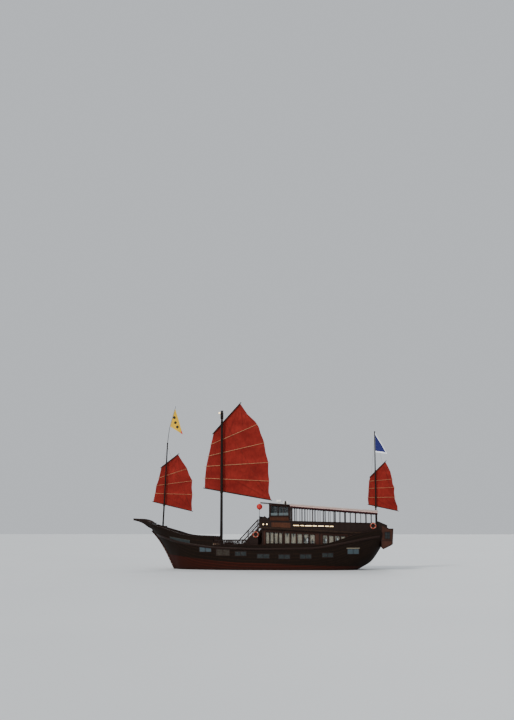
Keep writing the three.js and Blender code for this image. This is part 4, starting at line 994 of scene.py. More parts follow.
@dataclass(frozen=True)
class Hull:
    """The planked hull with its bulwarks, rail caps, bulwark timbers and main wales."""

    strakes: int = 26
    per_strake: int = 4
    groove: float = 0.003
    cap_width: float = 0.2
    cap_thick: float = 0.055

    def stations(self) -> Array:
        """The x of each station: close at the bow, with doubled ones at the deck's steps."""
        base = np.concatenate([np.linspace(HULL_FORE, -7.0, 62), np.linspace(-6.9, HULL_AFT, 112)])
        steps = [FORE_BULKHEAD - 1e-4, FORE_BULKHEAD + 0.005, SALOON_AFT - 0.005, SALOON_AFT + 1e-4]
        return np.unique(np.concatenate([base, steps]))

    def outside(self, x: Array, u: Array, u_top: Array) -> tuple[Array, Array]:
        """The outer planking's y and z, drawn in at each strake's seam along the section's normal."""
        held = np.minimum(u, u_top[:, None])
        y, z = LINES.section(x[:, None], held)
        dy, dz = np.gradient(y, axis=1), np.gradient(z, axis=1)
        length = np.maximum(np.hypot(dy, dz), 1e-6)
        seam = np.arange(len(u)) % self.per_strake == 0
        cut = self.groove * (seam & (held < u_top[:, None] - 1e-3) & (u > 0.02))
        return y - cut * dz / length, z + cut * dy / length

    def skin(self) -> Surface:
        """The closed hull: at each station the outer planking, the rail, the bulwark's inside and the deck.

        The outside follows the cubic section at fixed steps of u, and is held at the u of the rail. Inside, the
        bulwark stands a plank's thickness in.
        """
        x = self.stations()
        columns, inner, flat = self.strakes * self.per_strake + 1, 7, 8
        top, deck = LINES.rail(x), LINES.deck(x)
        y, z = self.outside(x, np.linspace(0, 1, columns), LINES.reach(x, top))
        inner_z = deck[:, None] + (np.maximum(top, deck + 1e-3) - deck)[:, None] * np.linspace(1, 0, inner)
        inner_y = LINES.half(x[:, None], inner_z) - PLANKING
        deck_y = inner_y[:, -1:] * np.linspace(1, 0, flat + 1)[1:]
        half_y = np.concatenate([y, inner_y, deck_y], axis=1)
        half_z = np.concatenate([z, inner_z, np.broadcast_to(deck[:, None], deck_y.shape)], axis=1)
        ring_y = np.concatenate([half_y, -half_y[:, -2::-1]], axis=1)
        ring_z = np.concatenate([half_z, half_z[:, -2::-1]], axis=1)
        points = meet(x[:, None], ring_y, ring_z)
        strake = np.floor(np.arange(columns) / self.per_strake - 1e-6)
        number = np.concatenate([strake, np.full(inner + flat, self.strakes + 1.0)])
        number = np.concatenate([number, number[-2::-1]])
        surface = grid(points, meet(x[:, None], number), closed=True, caps=True)
        line = np.interp(points[..., 0], *np.array(LINES.band).T)
        surface.values = {"above_band": (points[..., 2] - line).ravel(), "height": points[..., 2].ravel()}
        kind = np.repeat([0, 1, 2], [columns - 1, inner, flat])
        kind = np.concatenate([kind, kind[::-1], [0]])
        sides, *ends = surface.faces
        sides = sides.reshape(len(x) - 1, -1, 4)
        surface.faces = [sides[:, kind == look].reshape(-1, 4) for look in range(3)] + ends
        surface.looks = [0, 1, 2, 1, 1]
        return surface

    def rail_cap(self, side: Side, start: float, end: float) -> Surface:
        """A rounded plank along the top of the bulwark between two x."""
        x = np.linspace(start, end, max(int((end - start) / 0.12), 8))[:, None]
        top, t = LINES.rail(x), around(16)
        y = LINES.half(x, top - 0.02) - PLANKING / 2 + self.cap_width / 2 * boxed(np.cos(t), 0.45)
        z = top + self.cap_thick / 2 - 0.004 + self.cap_thick / 2 * boxed(np.sin(t), 0.45)
        points = meet(x, y * side.value, z)
        return grid(points, points[..., :2], closed=True, caps=True)

    def stanchions(self, side: Side) -> list[Surface]:
        """Timbers inside the foredeck's bulwark, each leaning with the planking."""
        parts = []
        for x in np.arange(-11.3, -5.0, 0.62):
            foot, head = float(LINES.deck(x)), float(LINES.rail(x)) - 0.03
            y0, y1 = (side.value * (LINES.half(x, z) - PLANKING - 0.045) for z in (foot + 0.02, head))
            parts.append(beam((x, y0, foot), (x, y1, head), 0.09, 0.1, AFT))
        return parts

    def wale(self, side: Side, size: float, start: float, end: float) -> Surface:
        """A rubbing timber: a half-round section carried along the planking."""
        x, t = np.linspace(start, end, 220)[:, None], around(12)
        z = LINES.along(LINES.wale, x, 0.9) + size * 0.75 * boxed(np.sin(t), 0.6)
        y = LINES.half(x, z) + size * 0.5 * boxed(np.cos(t), 0.6)
        points = meet(x, y * side.value, z)
        return grid(points, points[..., [0, 2]], closed=True, caps=True)

    def make(self) -> None:
        """Builds the hull's pieces."""
        replaced = ("hull", "bulwark_port", "bulwark_starboard")
        build("hull_planked", self.skin(), (TARRED, TRIM, DECK), replaced, crease=35, clean=True)
        runs = ((HULL_FORE + 0.25, FORE_BULKHEAD), (FORE_BULKHEAD + 0.1, HULL_AFT - 0.02))
        build("rail_caps", (self.rail_cap(s, a, b) for s in Side for a, b in runs), TRIM, crease=50)
        build("bulwark_timbers", (part for s in Side for part in self.stanchions(s)), TRIM)
        wales = (self.wale(s, 0.17, -11.3, 12.6) for s in Side)
        build("main_wales", wales, TRIM, ("wale_port", "wale_starboard"), crease=50)


@dataclass(frozen=True)
class SidePorts:
    """Framed ports low in the hull's side, some with a pale strip over the head, and a bare board at the bow.

    A port is its middle's x and z, its height and width, its pane's finish, and whether it has a strip. The board
    is two x and the heights of its head and foot at the fore end; it falls going aft.
    """

    ports: tuple[tuple[float, float, float, float, Pane, bool], ...] = (
        (-5.62, 2.12, 0.48, 1.25, FROSTED, False),
        (-3.74, 1.86, 0.7, 1.38, DULL, True),
        (-1.86, 1.7, 0.42, 1.15, DIM, False),
        (0.5, 1.45, 0.42, 1.25, DIM, False),
        (2.68, 1.4, 0.42, 1.15, DIM, False),
        (4.9, 1.42, 0.42, 1.15, DIM, False),
        (7.17, 1.56, 0.42, 1.1, DIM, False),
        (9.8, 1.93, 0.5, 1.15, FROSTED, True),
    )
    board: Spar = (-9.6, -7.3, 3.42, 2.96)
    fall: float = 0.16
    rim: float = 0.07

    @staticmethod
    def plate(side: Side, spread: Spar, out: float, thick: float, fall: float = 0.0) -> Surface:
        """A closed plate that follows the planking between two x and two heights, which fall going aft."""
        x0, x1, z0, z1 = spread
        x, z = np.meshgrid(np.linspace(x0, x1, 9), np.linspace(z0, z1, 5))
        z = z - fall * (x - x0)
        front = meet(x, side.value * (LINES.half(x, z) + out), z)
        return shell(front, (0, -side.value * thick, 0), front[..., [0, 2]])

    def make(self) -> None:
        """Builds the frames, panes, head strips and boards of both sides."""
        rims, strips, boards, edges = [], [], [], []
        panes = {FROSTED: [], DULL: [], DIM: []}
        for side in Side:
            for x, z, tall, wide, finish, headed in self.ports:
                w, h, rim = wide / 2, tall / 2, self.rim
                panes[finish].append(self.plate(side, (x - w, x + w, z - h, z + h), 0.004, 0.02))
                for a, b, c, d in (
                    (-w - rim, w + rim, h, h + rim),
                    (-w - rim, w + rim, -h - rim, -h),
                    (-w - rim, -w, -h, h),
                    (w, w + rim, -h, h),
                    (-0.02, 0.02, -h, h),
                ):
                    rims.append(self.plate(side, (x + a, x + b, z + c, z + d), 0.03, 0.05))
                if headed:
                    spread = (x - w - 0.1, x + w + 0.1, z + h + 0.075, z + h + 0.11)
                    strips.append(self.plate(side, spread, 0.045, 0.06))
            a, b, top, foot = self.board
            boards.append(self.plate(side, (a, b, foot, top), 0.03, 0.05, self.fall))
            edges.append(self.plate(side, (a - 0.03, b + 0.03, top, top + 0.02), 0.04, 0.06, self.fall))
        build("side_port_frames", rims, TRIM)
        for finish, parts in panes.items():
            build(f"side_port_{finish.name}s", parts, finish)
        build("side_port_heads", strips, HEADS)
        build("bow_boards", boards, BOARD)
        build("bow_board_edges", edges, EDGES)


# Cabins and decks


def pane(a0: float, a1: float, sill: float, heads: tuple[float, float], place: Number, facing: Vec) -> Surface:
    """A thin pane: from a0 to a1 along its wall, from the sill to a head at each end, at a place across the wall."""
    corners = np.array([[[a0, sill], [a1, sill]], [[a0, heads[0]], [a1, heads[1]]]])
    along, up = corners[..., 0], corners[..., 1]
    points = meet(place, along, up) if facing == AFT else meet(along, place, up)
    return shell(points, 0.006 * np.array(facing), corners)


def door_panels(near: float, far: float, rows: Line) -> list[Surface]:
    """The raised panels of a door: two to a row, a row for each pair of heights."""
    columns = ((-0.31, -0.03), (0.03, 0.31))
    return [block((near, y0, z0), (far, y1, z1), 0.01) for z0, z1 in rows for y0, y1 in columns]


@dataclass(frozen=True)
class Window:
    """A hole in a fore-and-aft wall: two x, and heights of sill and head at each end."""

    x0: float
    x1: float
    sill: float
    head0: float
    head1: float

    def head(self, x: Number) -> Number:
        """The head's height at x."""
        return self.head0 + (self.head1 - self.head0) * (x - self.x0) / (self.x1 - self.x0)

    def casing(self, y: float, side: Side, wide: float = 0.05, stand: float = 0.022) -> list[Surface]:
        """Boards round the hole on the wall's outer face at y, with a sill that stands further out."""
        out, rim, foot = y + side.value * stand / 2, wide / 2, self.sill - 0.02
        a, b = (self.x0 - rim, out, self.head0 + rim), (self.x1 + rim, out, self.head1 + rim)
        return [
            post(a[0], out, foot, self.head0 + wide, wide, stand, side.out),
            post(b[0], out, foot, self.head1 + wide, wide, stand, side.out),
            beam((a[0] - rim, *a[1:]), (b[0] + rim, *b[1:]), wide, stand * 1.2, side.out),
            level(
                self.x0 - wide - rim, self.x1 + wide + rim, out + side.value * 0.02, self.sill - rim,
                wide, stand + 0.04, side.out,
            ),
        ]

    def pane(self, y: float) -> Surface:
        """The glass across the hole."""
        return pane(self.x0, self.x1, self.sill, (self.head0, self.head1), y, STARBOARD)

    def bars(self, y: float, across: Vec = (), up: Vec = (), size: float = 0.022) -> list[Surface]:
        """Glazing bars: upright at shares of the width, level at shares of the height."""
        sizes = (size, size, STARBOARD)
        xs = [self.x0 + (self.x1 - self.x0) * share for share in up]
        made = [post(x, y, self.sill, self.head(x), *sizes) for x in xs]
        for share in across:
            made.append(level(self.x0, self.x1, y, lambda x: self.sill + (self.head(x) - self.sill) * share, *sizes))
        return made


class Drape(Enum):
    """How a window's curtains hang: shares of the half width at heights from the head (0) to the sill (1)."""

    DRAWN = ((0.0, 1.0), (1.0, 1.0))
    PARTED = ((0.0, 1.0), (0.25, 0.75), (0.58, 0.4), (0.75, 0.5), (1.0, 0.62))
    VEE = ((0.0, 0.6), (0.2, 0.78), (0.42, 1.0), (1.0, 1.0))
    WAISTED = ((0.0, 1.0), (0.3, 0.72), (0.62, 0.22), (0.8, 0.36), (1.0, 0.5))
    NOTCHED = ((0.0, 1.0), (0.5, 1.0), (0.8, 0.6), (1.0, 0.68))


@dataclass(frozen=True)
class Curtain:
    """A pair of curtains on one rail behind a window.

    Each half hangs in pleats: its width is the drape's share of half the window, and y is a sine of the cloth's
    own width, deepest where the cloth is drawn together. A waisted pair is tied in the middle, the others at the
    window's sides.
    """

    window: Window
    y: float
    drape: Drape
    pleats: int = 6

    def half(self, mirror: bool) -> Array:
        """One half's grid of points."""
        w = self.window
        v, u = np.linspace(0, 1, 26)[:, None], np.linspace(0, 1, 52)
        full = (w.x1 - w.x0) / 2
        width = full * np.interp(v, *np.array(self.drape.value).T)
        if self.drape is Drape.WAISTED:
            x = (w.x0 + w.x1) / 2 + (1 if mirror else -1) * width * (1 - u)
        else:
            x = w.x1 - u * width if mirror else w.x0 + u * width
        depth = 0.008 + 0.012 * (1 - width / full)
        y = self.y + depth * np.sin(2 * np.pi * self.pleats * u + 0.6 * v)
        top = w.head(x) - 0.012
        z = top + (w.sill + 0.03 - top) * v - 0.02 * u * np.sin(np.pi * v)
        return meet(x, y, z)

    def make(self, name: str) -> None:
        """Builds both halves as one piece."""
        halves = [self.half(False), self.half(True)]
        piece = build(name, (shell(h, (0, 0.002, 0), h[..., [0, 2]]) for h in halves), CURTAIN, crease=80)
        area = sum(area_of(h) for h in halves)


@dataclass(frozen=True)
class Saloon:
    """The saloon under the upper deck: plank sides, cased windows with curtains, corner posts and its door.

    A group of windows is its first x, their pitch and width, and their number.
    """

    half: float = 2.98
    wall: float = 0.08
    sill: float = 2.73
    drop: float = 0.34
    fore: float = 0.32
    aft: float = 10.55
    groups: tuple[tuple[float, float, float, int], ...] = (
        (0.72, 0.45, 0.33, 4),
        (2.7, 0.66, 0.48, 5),
        (6.68, 0.62, 0.46, 4),
    )
    posts: tuple[float, ...] = (0.38, 2.5, 6.34, 9.35, 10.5)
    boards: Line = (
        *((0.5, 1.4), (1.5, 2.4), (2.62, 3.8), (3.9, 5.0), (5.1, 6.2), (6.5, 7.8), (7.9, 9.2), (9.5, 10.4)),
    )
    drapes: tuple[Drape, ...] = (
        *(Drape.DRAWN, Drape.DRAWN, Drape.DRAWN, Drape.DRAWN),
        *(Drape.VEE, Drape.VEE, Drape.DRAWN, Drape.WAISTED, Drape.NOTCHED),
        *(Drape.PARTED, Drape.DRAWN, Drape.PARTED, Drape.NOTCHED),
    )

    def windows(self) -> list[Window]:
        """All the windows of one side."""
        found = []
        for first, pitch, width, count in self.groups:
            for x in (first + i * pitch for i in range(count)):
                head = [upper_under(v) - SEATED - self.drop for v in (x, x + width)]
                found.append(Window(x, x + width, self.sill, *head))
        return found

    def trim(self, side: Side) -> list[Surface]:
        """The casings, corner posts and mouldings of one side."""
        y, sign = side.value * self.half, side.value
        made = [part for w in self.windows() for part in w.casing(y, side)]
        for x in self.posts:
            made.append(post(x, y + sign * 0.02, 1.905, upper_under(x) - 0.01, 0.13, 0.05, side.out))
        for height, tall, deep in (
            (lambda x: upper_under(x) - 0.06, 0.1, 0.04),
            (lambda x: upper_under(x) - 0.22, 0.035, 0.04),
            (2.6, 0.06, 0.045),
            (1.96, 0.11, 0.035),
        ):
            made.append(level(self.fore, self.aft, y + sign * 0.016, height, tall, deep, side.out))
        return made

    def make(self) -> None:
        """Builds the saloon's trim, glass and curtains."""
        glass, boards = [], []
        for side in Side:
            glass += [w.pane(side.value * (self.half - 0.036)) for w in self.windows()]
            near, far = side.value * (self.half + 0.008), side.value * (self.half + 0.024)
            boards += [block((x0, near, 2.05), (x1, far, 2.54), 0.012) for x0, x1 in self.boards]
        build("saloon_trim", (part for side in Side for part in self.trim(side)), TRIM)
        build("saloon_panels", boards, JOINERY)
        build("saloon_glass", glass, GLASS)
        for side in Side:
            for n, (w, drape) in enumerate(zip(self.windows(), self.drapes), 1):
                Curtain(w, side.value * (self.half - self.wall - 0.03), drape).make(f"curtain_{side.label}_{n}")
        self.door()
        self.lamps()

    def door(self) -> None:
        """The saloon door's panels and knob, and a casing round the doorway."""
        x, frame_x, head, body = 0.2955, 0.285, 3.86, Body.SALOON_DOOR
        panels = door_panels(x - 0.012, x + 0.004, ((2.03, 2.62), (2.74, 3.62)))
        build("saloon_door_panels", panels, JOINERY, body=body)
        build("saloon_door_knob", knob((x - 0.002, 0.31, 2.85), (-1, 0, 0)), BRASS, body=body)
        case = [post(frame_x, y, 1.905, head, 0.09, 0.035, AFT) for y in (-0.46, 0.44)]
        case.append(athwart(frame_x, -0.52, 0.5, head, 0.11, 0.035, AFT))
        build("saloon_doorway", case, TRIM_Y)

    def lamps(self) -> None:
        """A pair of round lamps on each side of the upper deck's fore end."""
        bulb = [(0.01, 0.03), (0.06, 0.03), (0.068, 0.05), (0.055, 0.08), (0.025, 0.098), (0.004, 0.1)]
        rim = [(0.01, 0), (0.08, 0.0), (0.085, 0.02), (0.068, 0.034), (0.01, 0.034)]
        places = [((x, side.value * 3.2148, 4.72), side.out) for side in Side for x in (0.465, 0.835)]
        build("deck_lamps", (turned(bulb, foot, out, 18) for foot, out in places), WARM)
        build("deck_lamp_rims", (turned(rim, foot, out, 18) for foot, out in places), IRON)


@dataclass(frozen=True)
class UpperDeck:
    """The upper deck's edge and sides: mouldings, a warm strip of light, slim posts, and benches with slats."""

    fore: float = 3.35
    aft: float = 12.35
    wall: float = 0.07
    bend: float = 8.0
    bays: int = 8
    lit: Line = ((3.62, 4.2), (4.34, 4.72), (4.84, 5.52), (5.64, 6.06), (6.2, 6.78), (6.94, 7.3), (7.42, 7.78))

    def half(self, x: float) -> float:
        """The outer face of the side frame at x."""
        return upper_half(x) - self.wall / 2

    def run(
        self, side: Side, height: Callable[[float], float], x0: float, x1: float, tall: float, deep: float,
        out: float = 0.0,
    ) -> list[Surface]:
        """A moulding along the side between two x, bent where the deck narrows."""
        marks = [x0, *([self.bend] if x0 < self.bend < x1 else []), x1]
        ends = [(x, side.value * (self.half(x) + out + deep / 2), height(x)) for x in marks]
        return [beam(a, b, tall, deep, side.out) for a, b in zip(ends, ends[1:])]

    def lights(self) -> None:
        """The strip of light: short lit lengths under the bulwark's head, on both sides."""
        lit, cover = [], []
        for side in Side:
            for x0, x1 in self.lit:
                lit += self.run(side, lambda x: upper_rail(x) - 0.42, x0, x1, 0.07, 0.028, 0.004)
            cover += self.run(side, lambda x: upper_rail(x) - 0.36, 3.5, 7.9, 0.035, 0.06)
        build("deck_edge_lights", lit, WARM)
        build("deck_edge_light_cover", cover, TRIM)

    def mouldings(self, side: Side) -> list[Surface]:
        """The rail, foot, head and canopy mouldings of one side, and the edge of the deck."""
        return [
            *self.run(side, lambda x: upper_rail(x) + 0.02, 0.0, self.aft, 0.05, 0.13, -0.1),
            *self.run(side, lambda x: upper_top(x) + 0.05, 0.02, self.aft, 0.07, 0.03),
            *self.run(side, lambda x: upper_rail(x) - 0.14, 0.02, self.aft, 0.05, 0.022),
            *self.run(side, lambda x: canopy_edge(x) - 0.13, self.fore, self.aft, 0.06, 0.02),
            *self.run(side, lambda x: upper_top(x) - 0.065, -0.1, 12.45, 0.11, 0.035, 0.0295),
        ]

    def planks(self, side: Side) -> list[Surface]:
        """Upright planks beside the wheelhouse."""
        made = []
        for x in np.arange(1.32, 3.3, 0.165):
            near, far = side.value * (self.half(x) - 0.0005), side.value * (self.half(x) + 0.014)
            made.append(block((x, near, upper_top(x) + 0.09), (x + 0.155, far, upper_rail(x) - 0.165)))
        return made

    def battens(self, side: Side) -> list[Surface]:
        """Upright battens on the bulwark, clear of the planks."""
        made = []
        for x in np.arange(0.3, 12.2, 0.62):
            if not 1.2 < x < 3.4:
                y = side.value * (self.half(x) + 0.01)
                made.append(post(x, y, upper_top(x) + 0.09, upper_rail(x) - 0.17, 0.05, 0.02, side.out))
        return made

    def posts(self, side: Side) -> list[Surface]:
        """Slim posts from the rail to the canopy, one in the middle of each bay."""
        made = []
        for i in range(self.bays):
            x = self.fore + 0.055 + (i + 0.5) * (self.aft - self.fore - 0.11) / self.bays
            y = side.value * (self.half(x) - self.wall / 2)
            made.append(post(x, y, upper_rail(x) + 0.02, canopy_edge(x) - 0.19, 0.06, 0.055, STARBOARD))
        return made

    def make(self) -> None:
        """Builds the upper deck's woodwork."""
        build("stern_rail", self.stern_rail(), TRIM)
        build("upper_deck_mouldings", (p for s in Side for p in self.mouldings(s)), TRIM)
        edge = athwart(-0.115, -3.2, 3.2, upper_top(-0.1) - 0.065, 0.11, 0.03, AFT)
        build("upper_deck_fore_edge", edge, TRIM_Y)
        uprights = [p for s in Side for p in self.battens(s)] + [p for s in Side for p in self.posts(s)]
        build("upper_deck_battens", uprights, TRIM)
        build("upper_deck_planks", (p for s in Side for p in self.planks(s)), PANEL)
        self.lights()
        for side in Side:
            build(f"bench_slats_{side.label}", self.bench(side), SLATS, (f"upper_bench_{side.label}",))

    def stern_rail(self) -> list[Surface]:
        """A rail across the aft end with a gap for the mast."""
        made, x = [], 12.32
        foot, head = upper_top(x), upper_rail(x) + 0.01
        for side in Side:
            inner, outer = side.value * 0.3, side.value * 2.74
            made += [athwart(x, inner, outer, head, 0.06, 0.08), athwart(x, inner, outer, foot + 0.12, 0.045, 0.05)]
            for y in side.value * np.linspace(0.34, 2.7, 15):
                made.append(tube([(x, y, foot + 0.0005), (x, y, head)], 0.017, 8))
        return made

    def bench(self, side: Side, inner: float = 2.58, outer: float = 3.06) -> list[Surface]:
        """A slatted bench along one side: legs, seat slats and a slatted back."""
        slats = [(y, 0.415, 0.075, 0.028) for y in np.linspace(inner + 0.035, outer - 0.09, 5)]
        slats += [(outer - 0.03, z, 0.028, 0.085) for z in (0.55, 0.66, 0.77)]
        parts = [level(4.2, 7.9, side.value * y, lambda x: upper_top(x) + z, w, d) for y, z, w, d in slats]
        for x in np.linspace(4.28, 7.82, 6):
            foot = upper_top(x) + 0.0005
            for y in (inner + 0.06, outer - 0.07):
                parts.append(post(x, side.value * y, foot, foot + 0.4, 0.05, 0.06, STARBOARD))
            ends = side.value * (inner + 0.03), side.value * (outer - 0.04)
            parts.append(athwart(x, *ends, foot + 0.38, 0.05, 0.04))
            back = side.value * (outer - 0.055)
            parts.append(post(x, back, foot + 0.39, foot + 0.81, 0.05, 0.022, STARBOARD))
        return parts


@dataclass(frozen=True)
class Canopy:
    """The long canopy of stretched canvas, crowned between level brims, with a scalloped valance round it.

    Height over the brim is crown times 1 - s^2, for s across the boat from -1 to 1, and sags between the ribs by
    a small sine of x.
    """

    fore: float = 3.26
    aft: float = 12.4
    half: float = 3.33
    crown: float = 0.17
    brim: float = 0.94
    drop: float = 0.29
    thick: float = 0.016
    bay: float = 1.143
    bend: float = 8.0

    def breadth(self, x: Number) -> Number:
        """The half breadth at x."""
        return self.half - 0.4 * np.clip((x - self.bend) / (self.aft - self.bend), 0, 1)

    def rise(self, s: Array) -> Array:
        """How far the canvas stands over its brim, for s across the boat from -1 to 1."""
        return self.crown * np.clip(1 - (s / self.brim) ** 2, 0, 1)

    def cloth(self) -> None:
        """The canvas."""
        x, s = np.linspace(self.fore, self.aft, 150)[:, None], np.linspace(-1, 1, 61)
        sag = 0.012 * (np.cos(2 * np.pi * (x - self.fore) / self.bay) - 1) * (1 - s**2) ** 0.5
        points = meet(x, s * self.breadth(x), canopy_edge(x) + self.rise(s) + sag)
        top = shell(points, (0, 0, -self.thick), points[..., :2])
        canvas = build("canopy_canvas", top, CANVAS, ("canopy",), crease=60)

    def at_ends(self, x: Array, y: Array) -> Array:
        """Whether points of the edge lie on its fore or aft end."""
        return np.abs(y) < self.breadth(x) - 0.02

    def arch(self, way: Array) -> Array:
        """How far the canvas stands over its brim along a way: 0 along the sides."""
        x, y = way[:, 0], way[:, 1]
        return np.where(self.at_ends(x, y), self.rise(y / self.breadth(x)), 0.0)

    def path(self, inset: float, side: Side) -> Array:
        """The way round one half of the canopy's edge, from the middle of the stern forward: x, y and length."""
        marks = [(self.aft - inset, 0), (self.aft - inset, 1), (self.bend, 1)]
        marks += [(self.fore + inset, 1), (self.fore + inset, 0)]
        corners = np.array([(x, side.value * out * (self.breadth(x) - inset)) for x, out in marks])
        return np.column_stack(even(corners, 600))

    def valance(self, side: Side) -> None:
        """A strip of cloth round half the edge, its foot cut in scallops and its face in slight waves."""
        way = self.path(0.012, side)
        x, y, s = way.T[..., None]
        v = np.linspace(0, 1, 9)
        scallop = self.drop - 0.05 * np.abs(np.sin(np.pi * s / 0.3))
        wave = 0.006 * np.sin(2 * np.pi * s / 0.42) * v
        ends = self.at_ends(x, y)
        out = np.where(ends, (1.0, 0.0), (0.0, 1.0)) * np.where(ends, np.sign(x - self.bend), side.value)
        rise = self.arch(way)[:, None]
        z = canopy_edge(x) - 0.03 + rise - v * (scallop + 0.02 + rise)
        points = meet(x + wave * out[:, :1], y + wave * out[:, 1:], z)
        inward = np.concatenate([-0.004 * out, 0 * s], 1)[:, None]
        surface = shell(points, inward, meet(s, v * self.drop))
        surface.values = {"tip": np.tile(np.broadcast_to(v, z.shape).ravel(), 2)}
        replaced = ("valance",) if side is Side.PORT else ()
        strip = build(f"valance_{side.label}", surface, VALANCE, replaced, crease=60)

    def make(self) -> None:
        """Builds canvas, valance, binding and ribs."""
        self.cloth()
        binding, ribs = [], []
        for side in Side:
            self.valance(side)
            way = self.path(-0.004, side)[::3]
            height = canopy_edge(way[:, 0]) - 0.012 + self.arch(way)
            binding.append(tube(meet(way[:, 0], way[:, 1], height), 0.02, 8))
        build("canopy_binding", binding, BAND)
        s = np.linspace(-0.9, 0.9, 25)
        for x in np.linspace(self.fore + 0.25, self.aft - 0.25, 9)[:-1]:
            z = canopy_edge(x) + self.rise(s) - self.thick - 0.045
            ribs.append(tube(meet(x, s * self.breadth(x), z), 0.022, 8))
        build("canopy_ribs", ribs, JOINERY)


